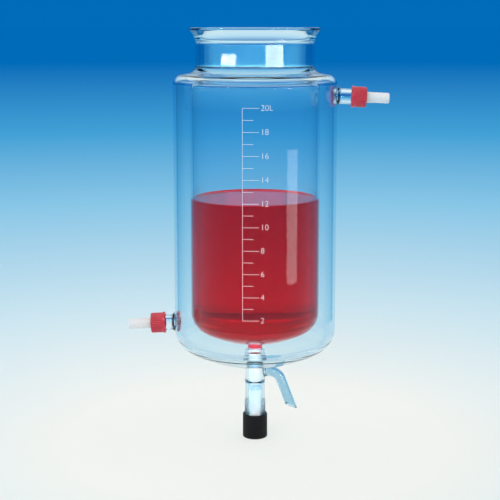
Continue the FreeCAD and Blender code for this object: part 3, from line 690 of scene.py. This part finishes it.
def port_bodies(which):
    """The solid of a port and the bore that is cut through it."""
    reach = PORTS[which][2]
    verts, faces = turn(port_outline(reach), 128, closed=False)
    frame_here = along_port(which, 0.0)
    solid = piece_of(which + "_port_solid", [skin_mesh([sunk(v) for v in verts], faces)],
                     GLASS, matrix=frame_here)
    rim = reach + PORT_RIM
    lip = ease((PORT_BORE, rim), 0.8 * MM, (PORT_BORE, 0.0), (PORT_THREAD, rim))
    bore = turned_piece(which + "_port_bore",
                        [(0.0, -18 * MM), (PORT_BORE, -18 * MM)] + lip
                        + [(PORT_THREAD, rim + 2 * MM), (0.0, rim + 2 * MM)],
                        GLASS, 96, closed=False, matrix=frame_here)
    return solid, bore


# %% [markdown]
# The drain spout
#
# A bent tube isn't a turned piece. Its section is carried along a path: level out of the
# valve's chamber, round a bend and straight down at a slant. The end is cut at an angle, which
# leaves a tip that drips cleanly.

# %% Drain spout
SPOUT_RADIUS = highest("drain_spout").y
SPOUT_WALL = 2.4 * MM
SPOUT_DEPTH = 674.2 * MM
SPOUT_RUN = 26.7 * MM
SPOUT_BEND = 26.4 * MM
SPOUT_LEAN = math.radians(20.7)
SPOUT_LENGTH = 57 * MM
SPOUT_CUT = math.radians(50)
SPOUT_FLARE_RUN = 7 * MM


def spout_path(start, steps=22):
    """Points and directions along the spout's centre line, from a distance off the axis."""
    path = [((start + (SPOUT_RUN - start) * k / 6, -SPOUT_DEPTH), 0.0) for k in range(6)]
    sweep = math.pi / 2 - SPOUT_LEAN
    for step in range(steps + 1):
        angle = sweep * step / steps
        path.append(((SPOUT_RUN + SPOUT_BEND * math.sin(angle),
                      -SPOUT_DEPTH - SPOUT_BEND * (1 - math.cos(angle))), angle))
    return path


def spout_skin(start, radius, overrun, flare=0.0, sides=64):
    """A closed skin round the spout's path. Its last ring lies in the slanted cut."""
    path = spout_path(start)
    (end_x, end_z), angle = path[-1]
    run = Vector((math.cos(angle), -math.sin(angle)))
    cuts = 8
    for step in range(1, cuts + 1):
        along = SPOUT_LENGTH * step / cuts
        path.append(((end_x + run.x * along, end_z + run.y * along), angle))
    verts, faces = [], []
    for index, ((x, z), turn_angle) in enumerate(path):
        last = index == len(path) - 1
        across = Vector((math.sin(turn_angle), math.cos(turn_angle)))
        wide = radius + flare * max(0.0, 1 - (x - start) / SPOUT_FLARE_RUN) ** 2
        for side in range(sides):
            around = 2 * math.pi * side / sides
            out = wide * math.cos(around)
            slide = (overrun + out / math.tan(SPOUT_CUT)) if last else 0.0
            verts.append((x + across.x * out + run.x * slide, wide * math.sin(around),
                          z + across.y * out + run.y * slide))
    rings = len(path)
    for ring in range(rings - 1):
        for side in range(sides):
            a, b = ring * sides + side, ring * sides + (side + 1) % sides
            faces.append((a, b, b + sides, a + sides))
    faces.append(tuple(range(sides)))
    faces.append(tuple(range((rings - 1) * sides, rings * sides)))
    return skin_mesh(verts, faces)


def spout_bodies():
    solid = piece_of("spout_solid", [spout_skin(18.6 * MM, SPOUT_RADIUS, 0.0, 2.4 * MM)], GLASS)
    bore = piece_of("spout_bore", [spout_skin(13.0 * MM, SPOUT_RADIUS - SPOUT_WALL, 6 * MM)],
                    GLASS)
    return solid, bore


# %% [markdown]
# Melting the glass together
#
# The ports and the spout are joined to the vessel with Boolean operations, first all the
# solids and then all the bores, so that a bore also opens the wall behind it.

# %% Fused glass
GLASS_SEGMENTS = 256
GLASS_CRISP_ANGLE = 38.0
BESIDE_PORT = 34 * MM
barrel_thread = screw_wave(4 * MM, 0.9 * MM, THREAD_TOP - 1 * MM, BARREL_FOOT + 2 * MM)


def barrel_wave(angle, radius, height):
    """The thread on the outside of the valve barrel and nowhere else."""
    return barrel_thread(angle, radius, height) if radius > GUIDE_RADIUS else 0.0


def close_rows(outline, wall_radius):
    """Close rows beside both ports on an upright wall that the ports go through."""
    for which in PORTS:
        middle = -PORTS[which][1]
        top = min(middle + BESIDE_PORT, JACKET_TOP - 1 * MM)
        foot = max(middle - BESIDE_PORT, JACKET_DEPTH + 1 * MM)
        outline = with_rows(outline, top, foot, wall_radius, 4 * MM)
    return outline


def merged(base, tool, operation):
    """Join or cut two pieces and give back the first, with the second used up."""
    step = base.modifiers.new(operation, "BOOLEAN")
    step.operation = operation
    step.object = tool
    step.solver = "MANIFOLD"
    depsgraph = bpy.context.evaluated_depsgraph_get()
    mesh = bpy.data.meshes.new_from_object(base.evaluated_get(depsgraph))
    base.modifiers.clear()
    old = base.data
    base.data = mesh
    bpy.data.meshes.remove(old)
    bpy.data.objects.remove(tool)
    return base


def fused_glass():
    skin = close_rows(filled(outer_skin(), 30 * MM), JACKET_RADIUS)
    skin = with_rows(skin, THREAD_TOP - 4 * MM, BARREL_FOOT + 3 * MM, THREAD_RADIUS, 0.4 * MM)
    space = filled(jacket_space(), 30 * MM)
    glass = piece_of("fused_glass",
                     [skin_mesh(*turn(skin, GLASS_SEGMENTS, barrel_wave)),
                      skin_mesh(*turn(space, GLASS_SEGMENTS), hollow=True)], GLASS)
    parts = [port_bodies("upper"), port_bodies("lower"), spout_bodies()]
    for solid, _ in parts:
        glass = merged(glass, solid, "UNION")
    for _, bore in parts:
        glass = merged(glass, bore, "DIFFERENCE")
    glass.data.shade_smooth()
    glass.data.set_sharp_from_angle(angle=math.radians(GLASS_CRISP_ANGLE))
    glass.data.materials.clear()
    glass.data.materials.append(GLASS)
    return glass


glass = fused_glass()
# A lamp's light goes straight through clear glass to what stands in it, with no shadow.
glass.visible_shadow = False
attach(glass, "root")
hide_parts("neck_flange", "jacket_shoulder", "jacket_wall", "jacket_bottom",
            "vessel_shoulder", "vessel_wall", "vessel_bottom", "outlet_neck", "valve_barrel",
            "drain_spout", "upper_hose_port", "lower_hose_port")
print("fused glass:", len(glass.data.polygons), "faces")

# %% [markdown]
# Filling the vessel
#
# The liquid overlaps the glass by a fifth of a millimetre. A gap would show as a silver film of
# air, and an overlap bends the light just as glass against liquid does. At the wall the liquid
# creeps up in a small meniscus, and at the bottom it reaches down to the valve's red ring.

# %% Liquid
FILL_LEVEL = -328 * MM
MENISCUS = 2.6 * MM
SEAL_LEVEL = -627.5 * MM
OVERLAP = 0.2 * MM


def liquid_outline():
    wall = VESSEL_RADIUS - VESSEL_WALL + OVERLAP
    top = [(0.0, FILL_LEVEL), (wall - 3 * MENISCUS, FILL_LEVEL)]
    for step in range(1, 9):
        share = step / 8
        top.append((wall - 3 * MENISCUS * (1 - share), FILL_LEVEL + MENISCUS * share ** 3))
    bottom = blend_to_tube(OUTLET_BORE + OVERLAP, OUTLET_LIP, wall,
                           VESSEL_KNUCKLE - VESSEL_WALL + OVERLAP,
                           VESSEL_CROWN - VESSEL_WALL + OVERLAP, VESSEL_DEPTH)
    return top + bottom + [(OUTLET_BORE + OVERLAP, SEAL_LEVEL), (0.0, SEAL_LEVEL)]


liquid = turned_piece("liquid", filled(liquid_outline(), 30 * MM), LIQUID, 192, closed=False)
liquid.visible_shadow = False
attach(liquid, "root")

# %% [markdown]
# The volume scale
#
# Lines and numbers are fired on the front of the jacket. Each mark is a thin plate that is
# bent round the jacket, and the numbers come from Blender's own font.

# %% Volume scale
SCALE_LINE = -22.9 * MM
SCALE_TOP = -143.6 * MM
SCALE_FOOT = -534.7 * MM
SCALE_LITRES = range(2, 21)
SCALE_HALF_LINE = 0.35 * MM
LONG_MARK_END, SHORT_MARK_END = 7.1 * MM, -3.0 * MM
NUMBER_LEFT, NUMBER_HEIGHT = 10 * MM, 10.8 * MM
DIGIT_SHARE = 0.7
THINNED = -0.28 * MM
# How far the ink's back and front stand off the glass.
INK_DEPTH = (0.02 * MM, 0.12 * MM)


def wrapped(x, z, out):
    """A point of the flat artwork on the jacket's front, at a distance off the glass."""
    radius = JACKET_RADIUS + out
    return radius * math.sin(x / JACKET_RADIUS), -radius * math.cos(x / JACKET_RADIUS), z


def bar(left, right, low, high, step=2 * MM):
    """Points and faces of a thin closed plate with cuts across its width."""
    count = max(1, math.ceil((right - left) / step))
    verts, faces = [], []
    for cut in range(count + 1):
        x = left + (right - left) * cut / count
        verts += [(x, low, INK_DEPTH[0]), (x, high, INK_DEPTH[0]), (x, high, INK_DEPTH[1]),
                  (x, low, INK_DEPTH[1])]
    for cut in range(count):
        a, b = 4 * cut, 4 * cut + 4
        faces += [(a + k, a + (k + 1) % 4, b + (k + 1) % 4, b + k) for k in range(4)]
    faces += [(0, 1, 2, 3), tuple(4 * count + k for k in range(4))]
    return verts, faces


def number(text, left, middle, height):
    """Points and faces of a number as a thin closed plate."""
    curve = bpy.data.curves.new(text, "FONT")
    curve.body = text
    curve.align_y = "CENTER"
    curve.size = height / DIGIT_SHARE
    curve.offset = THINNED
    curve.extrude = (INK_DEPTH[1] - INK_DEPTH[0]) / 2
    curve.resolution_u = 6
    shape = linked(text, curve)
    depsgraph = bpy.context.evaluated_depsgraph_get()
    mesh = bpy.data.meshes.new_from_object(shape.evaluated_get(depsgraph))
    out = sum(INK_DEPTH) / 2
    verts = [(left + v.co.x, middle + v.co.y, out + v.co.z) for v in mesh.vertices]
    faces = [tuple(face.vertices) for face in mesh.polygons]
    bpy.data.objects.remove(shape)
    bpy.data.meshes.remove(mesh)
    return verts, faces


def volume_scale():
    step = (SCALE_TOP - SCALE_FOOT) / (len(SCALE_LITRES) - 1)
    line = SCALE_HALF_LINE
    skins = [bar(SCALE_LINE - line, SCALE_LINE + line, SCALE_FOOT - line, SCALE_TOP + line)]
    for litre in SCALE_LITRES:
        z = SCALE_FOOT + step * (litre - SCALE_LITRES[0])
        even = litre % 2 == 0
        end = LONG_MARK_END if even else SHORT_MARK_END
        skins.append(bar(SCALE_LINE, end, z - line, z + line))
        if even:
            label = f"{litre}L" if litre == 20 else str(litre)
            skins.append(number(label, NUMBER_LEFT, z, NUMBER_HEIGHT))
    bent = [skin_mesh([wrapped(*vert) for vert in verts], faces) for verts, faces in skins]
    return piece_of("volume_scale", bent, INK)


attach(volume_scale(), "root")

# %% [markdown]
# Hose connections
#
# A red screw cap with upright ribs clamps a white nozzle to each port. The nozzle's barbs have
# a steep side towards the cap, so that a hose slides on easily and stays on.

# %% Screw caps
CAP_LENGTH = 28.4 * MM
CAP_RADIUS = 19.6 * MM
CAP_RIBS = 32


def cap_outline():
    lip, bore, hole = 20.7 * MM, 16.35 * MM, 10.75 * MM
    seat = CAP_LENGTH - 5.2 * MM
    profile = eased([(bore + 1.2 * MM, 0.0), (lip - 0.9 * MM, 0.0), (lip, 0.9 * MM),
                     (lip, 4.6 * MM), (CAP_RADIUS, 5.6 * MM), (CAP_RADIUS, CAP_LENGTH - 1.4 * MM),
                     (CAP_RADIUS - 1.4 * MM, CAP_LENGTH), (15.6 * MM, CAP_LENGTH),
                     (15.2 * MM, CAP_LENGTH - 0.7 * MM), (13.0 * MM, CAP_LENGTH - 0.7 * MM),
                     (12.6 * MM, CAP_LENGTH), (hole, CAP_LENGTH), (hole, seat), (bore, seat),
                     (bore, 1.2 * MM)], 0.5 * MM, steps=3)
    return filled(profile, 2.4 * MM)


cap_ribs = rib_wave(CAP_RIBS, 1.0 * MM, CAP_LENGTH - 0.6 * MM, 6.2 * MM, 1.4 * MM)


def cap_wave(angle, radius, height):
    return cap_ribs(angle, radius, height) if radius > CAP_RADIUS - 1.2 * MM else 0.0


for which, (_, _, reach) in PORTS.items():
    cap = turned_piece(which + "_cap_piece", cap_outline(), RED_PLASTIC, CAP_RIBS * 14,
                       cap_wave, matrix=along_port(which, reach))
    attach(cap, which + "_cap")
    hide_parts(which + "_screw_cap")

# %% Hose nozzles
NOZZLE_RADIUS = 10.4 * MM
BARBS = 4


def nozzle_outline():
    spigot, flange, shank, root_r = 9.5 * MM, 14.9 * MM, 10.1 * MM, 9.8 * MM
    bore = 6 * MM
    seat = CAP_LENGTH - 5.25 * MM
    land, tip = CAP_LENGTH + 1 * MM, CAP_LENGTH + 44 * MM
    barb_start = land + 8 * MM
    pitch = (tip - barb_start) / BARBS
    points = [(bore, PORT_RIM - 6 * MM), (spigot, PORT_RIM - 6 * MM),
              (spigot, seat - 3.2 * MM), (flange, seat - 3.2 * MM), (flange, seat),
              (shank, seat), (shank, land), (NOZZLE_RADIUS, land),
              (NOZZLE_RADIUS, barb_start)]
    for barb in range(BARBS):
        foot = barb_start + pitch * barb
        points += [(root_r, foot), (NOZZLE_RADIUS, foot + 0.8 * MM)]
    points += [(root_r, tip - 0.9 * MM), (root_r - 0.9 * MM, tip), (bore + 0.6 * MM, tip),
               (bore, tip - 0.6 * MM)]
    return eased(points, 0.35 * MM, steps=3)


for which, (_, _, reach) in PORTS.items():
    nozzle = turned_piece(which + "_nozzle_piece", nozzle_outline(), WHITE_PLASTIC, 96,
                          matrix=along_port(which, reach))
    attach(nozzle, which + "_nozzle")
    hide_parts(which + "_hose_nozzle")
    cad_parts[which + "_sealing_ring"].data.materials[0] = PALE_SILICONE

# %% [markdown]
# The outlet valve
#
# Turning the knob screws it up or down the barrel's thread, and the spindle follows. A red
# ring on the tip shuts the outlet, a lip seal keeps the liquid in the chamber, and a wiper
# ring guides the lower end.

# %% Valve spindle and seals
SPINDLE_RADIUS = 11.75 * MM
TIP_ROUND = 4 * MM
WIRE = 1.5 * MM
# Each ring as the radius and height of its wire's centre.
TIP_RING = (12.0 - 1.5) * MM, -628.6 * MM
WIPER_RING = (13.15 - 1.5) * MM, -769 * MM
LIP_SEAL = -704 * MM
STEM_RADIUS = 6 * MM


def groove(middle, half, floor_r):
    """A square groove round the spindle, about a height."""
    return [(SPINDLE_RADIUS, middle + half), (floor_r, middle + half),
            (floor_r, middle - half), (SPINDLE_RADIUS, middle - half)]


def ring_groove(ring):
    return groove(ring[1], WIRE + 0.05 * MM, ring[0] - WIRE - 0.05 * MM)


def spindle_outline():
    shoulder_z, clip_top = -790.5 * MM, -799.0 * MM
    foot = lowest("valve_spindle").z
    tip = highest("valve_spindle").z
    body = ([(SPINDLE_RADIUS, tip - TIP_ROUND)] + ring_groove(TIP_RING)
            + groove(LIP_SEAL, 5.55 * MM, 9.4 * MM) + ring_groove(WIPER_RING)
            + [(SPINDLE_RADIUS, shoulder_z), (STEM_RADIUS, shoulder_z),
               (STEM_RADIUS, clip_top), (STEM_RADIUS - 1.2 * MM, clip_top),
               (STEM_RADIUS - 1.2 * MM, clip_top - 1.5 * MM), (STEM_RADIUS, clip_top - 1.5 * MM),
               (STEM_RADIUS, foot + 0.6 * MM), (STEM_RADIUS - 0.6 * MM, foot), (0.0, foot)])
    crown = arc((SPINDLE_RADIUS - TIP_ROUND, tip - TIP_ROUND), TIP_ROUND, 90, 0, 8)
    return [(0.0, tip)] + crown[:-1] + eased(body, 0.3 * MM, closed=False, steps=3)


def ring_outline(ring):
    return arc((ring[0], ring[1]), WIRE, 0, 345, 23)


def lip_seal_outline():
    inside, out, relief = 9.45 * MM, 13.15 * MM, 1.1 * MM
    low, high = LIP_SEAL - 5.5 * MM, LIP_SEAL + 5.5 * MM
    return eased([(inside, low), (out - relief / 2, low), (out, low + relief / 2),
                  (out, low + 2.2 * MM), (out - relief, low + 3.3 * MM),
                  (out - relief, high - 3.3 * MM), (out, high - 2.2 * MM),
                  (out, high - relief / 2), (out - relief / 2, high), (inside, high)],
                 0.4 * MM, steps=3)


spindle_set = {"valve_spindle": (spindle_outline(), WHITE_PLASTIC, False),
               "tip_seal_ring": (ring_outline(TIP_RING), RED_RUBBER, True),
               "spindle_wiper_ring": (ring_outline(WIPER_RING), PALE_SILICONE, True),
               "spindle_lip_seal": (lip_seal_outline(), PALE_SILICONE, True)}
for node, (outline, finish, closed) in spindle_set.items():
    piece = turned_piece(node + "_piece", outline, finish, 128, closed=closed)
    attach(piece, "spindle")
    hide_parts(node)
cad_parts["thrust_washer"].data.materials[0] = WHITE_PLASTIC
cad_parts["retaining_clip"].data.materials[0] = STEEL

# %% Knob
KNOB_RIBS = 60
KNOB_ROUND = 2.5 * MM


def knob_outline():
    bore, hole, recess = THREAD_RADIUS + 0.35 * MM, 6.35 * MM, 13 * MM
    floor_top, floor_foot = -792.6 * MM, -799.0 * MM
    rim = eased([(bore, KNOB_TOP - 1.3 * MM), (bore + 1.1 * MM, KNOB_TOP),
                 (KNOB_RADIUS - 1.1 * MM, KNOB_TOP), (KNOB_RADIUS, KNOB_TOP - 1.1 * MM),
                 (KNOB_RADIUS, KNOB_FOOT + KNOB_ROUND)], 0.4 * MM, closed=False, steps=3)
    foot = arc((KNOB_RADIUS - KNOB_ROUND, KNOB_FOOT + KNOB_ROUND), KNOB_ROUND, 0, -90, 8)
    inside = eased([foot[-1], (recess, KNOB_FOOT), (recess, floor_foot), (hole, floor_foot),
                    (hole, floor_top), (bore, floor_top), (bore, KNOB_TOP - 1.3 * MM)],
                   0.5 * MM, closed=False, steps=3)
    return filled(rim[:-1] + foot + inside[1:-1], 2.2 * MM)


knob_ribs = rib_wave(KNOB_RIBS, 0.75 * MM, KNOB_TOP - 2.4 * MM, KNOB_FOOT + 1.2 * MM, 1.2 * MM)


def knob_wave(angle, radius, height):
    return knob_ribs(angle, radius, height) if radius > THREAD_RADIUS + 1 * MM else 0.0


knob = turned_piece("knob_piece", knob_outline(), BLACK_PLASTIC, KNOB_RIBS * 10, knob_wave)
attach(knob, "knob")
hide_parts("valve_knob")

# %% [markdown]
# Studio
#
# Clear glass shows nothing but its surroundings, so they matter as much as the vessel. The
# floor is white round the vessel and goes over to deep blue far off, where it meets a sky of
# the same blue. Higher up the sky turns pale and then cream, for the bright bands that the
# flange and the shoulder mirror. Matte pieces get neutral light, also through the glass: the sky counts how
# often a ray has left a matte surface, and gives a ray that has done so plain daylight.

# %% Floor and sky
FLOOR = KNOB_FOOT - 0.5 * MM
FLOOR_RADIUS = 600.0
# The floor's colours change with distance over about the camera's own distance.
FADE_REACH = 2.35
# The share of the floor that is matt and takes shadows. The rest glows evenly.
FLOOR_MATT = 0.36
DEEP_BLUE = (0.0, 0.15, 0.49)


def floor_finish():
    """White near the vessel, blue far off. The share falls as the floor recedes in the view."""
    finish = Finish("floor")
    far = finish.add("ShaderNodeVectorMath", {"operation": "LENGTH"}, {0: finish.place()},
                     "Value")
    share = FADE_REACH / (far + FADE_REACH)
    tone = finish.ramp(share, (0.08, (0.0, 0.163, 0.53)), (0.245, (0.06, 0.39, 0.74)),
                       (0.41, (0.27, 0.62, 0.87)), (0.66, (0.64, 0.84, 0.93)),
                       (0.86, (0.93, 0.95, 0.91)))
    glow = finish.add("ShaderNodeEmission", inputs={"Color": tone, "Strength": 1.0})
    matt = finish.add("ShaderNodeBsdfDiffuse", inputs={"Color": tone})
    return finish.surface(finish.add("ShaderNodeMixShader",
                                     inputs={"Fac": FLOOR_MATT, 1: glow, 2: matt}))


def sky_finish():
    """A backdrop for camera rays and for the glass, and plain daylight for matte pieces."""
    world = bpy.data.worlds.new("sky")
    scene.world = world
    sky = Finish("sky", world)
    way = sky.add("ShaderNodeTexCoord", output="Generated")
    tone = sky.ramp(sky.along("Z", way), (0.0, DEEP_BLUE), (0.05, DEEP_BLUE), (0.22, (0.56, 0.80, 0.93)),
                    (0.42, (0.97, 0.96, 0.90)), (1.0, (1.0, 0.99, 0.96)))
    seen = sky.add("ShaderNodeBackground", inputs={"Color": tone, "Strength": 1.0})
    soft = sky.add("ShaderNodeBackground",
                   inputs={"Color": (0.97, 0.98, 1.0, 1.0), "Strength": 0.74})
    looks = sum(sky.add("ShaderNodeLightPath", output=f"Is {kind} Ray")
                for kind in ("Camera", "Glossy", "Transmission"))
    matt_bounces = sky.add("ShaderNodeLightPath", output="Diffuse Depth")
    matt = 1 - looks * (1 - matt_bounces)
    both = sky.add("ShaderNodeMixShader", inputs={"Fac": matt, 1: seen, 2: soft})
    sky.add("ShaderNodeOutputWorld", inputs={"Surface": both})


def sheet(name, verts, faces, material):
    """A plain mesh for the studio."""
    mesh = bpy.data.meshes.new(name)
    mesh.from_pydata(verts, [], faces)
    mesh.materials.append(material)
    return linked(name, mesh)


def disc(name, radius, height, material, sides=128):
    around = [2 * math.pi * k / sides for k in range(sides)]
    ring = [(radius * math.cos(angle), radius * math.sin(angle), 0.0) for angle in around]
    made = sheet(name, ring, [tuple(range(sides))], material)
    made.location.z = height
    return made


floor = disc("floor", FLOOR_RADIUS, FLOOR, floor_finish())
sky_finish()

# %% [markdown]
# Soft boxes, card and flags
#
# What stands round a glass vessel shows in it. Three upright panels make the bright windows in
# the neck and the long one on the right. A curved card, which passes unseen between the camera
# and the vessel, lays a pale blue sheen over the front. These four are linked to the glass
# alone. Two dark flags to the sides and behind draw the dark lines along the vessel's edges,
# as flags do in a photographer's studio. One soft box, high at the front left, lights all.

# %% Soft boxes
def soft_box(name, azimuth, distance, low, high, width, power):
    """An upright panel at an azimuth, in degrees anticlockwise from -Y seen from above."""
    angle = math.radians(azimuth - 90)
    spot = Vector((distance * math.cos(angle), distance * math.sin(angle), (low + high) / 2))
    lamp = bpy.data.lights.new(name, "AREA")
    lamp.shape = "RECTANGLE"
    lamp.size = width
    lamp.size_y = high - low
    lamp.energy = power
    panel = linked(name, lamp)
    panel.location = spot
    aim = Vector((-spot.x, -spot.y, 0.0))
    panel.rotation_euler = aim.to_track_quat("-Z", "Y").to_euler()
    panel.visible_camera = False
    panel.visible_transmission = False
    return panel


def only_on(panel, *pieces):
    """Link a panel's light to these pieces and to nothing else."""
    lit = bpy.data.collections.new(panel.name + "_lit")
    for piece in pieces:
        lit.objects.link(piece)
    panel.light_linking.receiver_collection = lit


def strip(name, reach, start, end, low, high, material, steps=48):
    """An upright strip bent round the vessel between two azimuths, for the glass to mirror."""
    verts = []
    for step in range(steps + 1):
        angle = math.radians(start + (end - start) * step / steps - 90)
        verts += [(reach * math.cos(angle), reach * math.sin(angle), z) for z in (low, high)]
    faces = [(2 * k, 2 * k + 2, 2 * k + 3, 2 * k + 1) for k in range(steps)]
    made = sheet(name, verts, faces, material)
    made.visible_camera = made.visible_diffuse = made.visible_shadow = False
    return made


CARD_REACH = 2.3
CARD_TOP, CARD_FOOT = -0.03, -0.30
CARD_STRENGTH = 34.0


def card_finish():
    """A pale blue glow that fades downwards and towards both ends of the strip."""
    finish = Finish("front_card")
    black, white = (0.0, 0.0, 0.0), (1.0, 1.0, 1.0)
    y, z = finish.along("Y"), finish.along("Z")
    rise = finish.ramp((z - CARD_FOOT) / (CARD_TOP - CARD_FOOT), (0.0, black), (0.55, white))
    ends = finish.ramp(0.5 - y / (2 * CARD_REACH), (0.24, black), (0.42, (0.09, 0.09, 0.09)),
                       (0.62, (0.50, 0.50, 0.50)), (1.0, white))
    glow = finish.add("ShaderNodeEmission", inputs={"Color": (0.25, 0.94, 1.0, 1.0),
                                                    "Strength": rise * ends * CARD_STRENGTH})
    return finish.surface(glow)


def flag_finish():
    """Navy at the top and a lighter blue at the foot, as the backdrop goes."""
    finish = Finish("dark_flag")
    tone = finish.ramp(finish.along("Z") + 0.8, (0.0, (0.16, 0.50, 0.72)),
                       (0.35, (0.03, 0.28, 0.52)), (0.8, (0.0, 0.07, 0.24)))
    return finish.surface(finish.add("ShaderNodeEmission", inputs={"Color": tone}))


card = strip("front_card", CARD_REACH, -121, 121, CARD_FOOT, CARD_TOP, card_finish())
card.visible_transmission = card.visible_volume_scatter = False
only_on(card, glass)
dark = flag_finish()
for side in (-1, 1):
    strip(f"dark_flag_{side}", 1.0, 108 * side, 139 * side, FLOOR + 0.02, 0.5, dark)

only_on(soft_box("right_box", 50.0, 1.4, -0.735, -0.345, 0.37, 6.0), glass)
only_on(soft_box("neck_box", 37, 2.2, -0.145, -0.04, 1.5, 36.0), glass)
only_on(soft_box("left_box", -50, 2.2, -0.135, -0.095, 1.2, 14.0), glass)

key = soft_box("top_box", -25, 1.6, 1.0, 1.9, 1.6, 15.0)
to_middle = Vector((0, 0, -0.4)) - key.location
key.rotation_euler = to_middle.to_track_quat("-Z", "Y").to_euler()

# %% [markdown]
# Camera
#
# The camera stands level with the flange and looks a little down, with the picture shifted so
# that the vessel hangs in the upper part of the frame, as in the photograph.

# %% Camera
CAMERA_DISTANCE = 2.352
CAMERA_PITCH = 8.43
lens = bpy.data.cameras.new("camera")
lens.sensor_width = 36.0
lens.lens = 88.0
lens.shift_x, lens.shift_y = -0.010, -0.083
camera = linked("camera", lens)
camera.location = (0.0, -CAMERA_DISTANCE, 0.0)
camera.rotation_euler = (math.radians(90 - CAMERA_PITCH), 0.0, 0.0)
scene.camera = camera

scene.view_settings.view_transform = "Standard"
# Straight through the vessel light crosses eight glass surfaces, and more near its edges.
scene.cycles.max_bounces = 32
scene.cycles.transmission_bounces = 32
scene.cycles.glossy_bounces = 8
# The glass doesn't mirror the light of the panels on to the floor.
scene.cycles.caustics_reflective = False
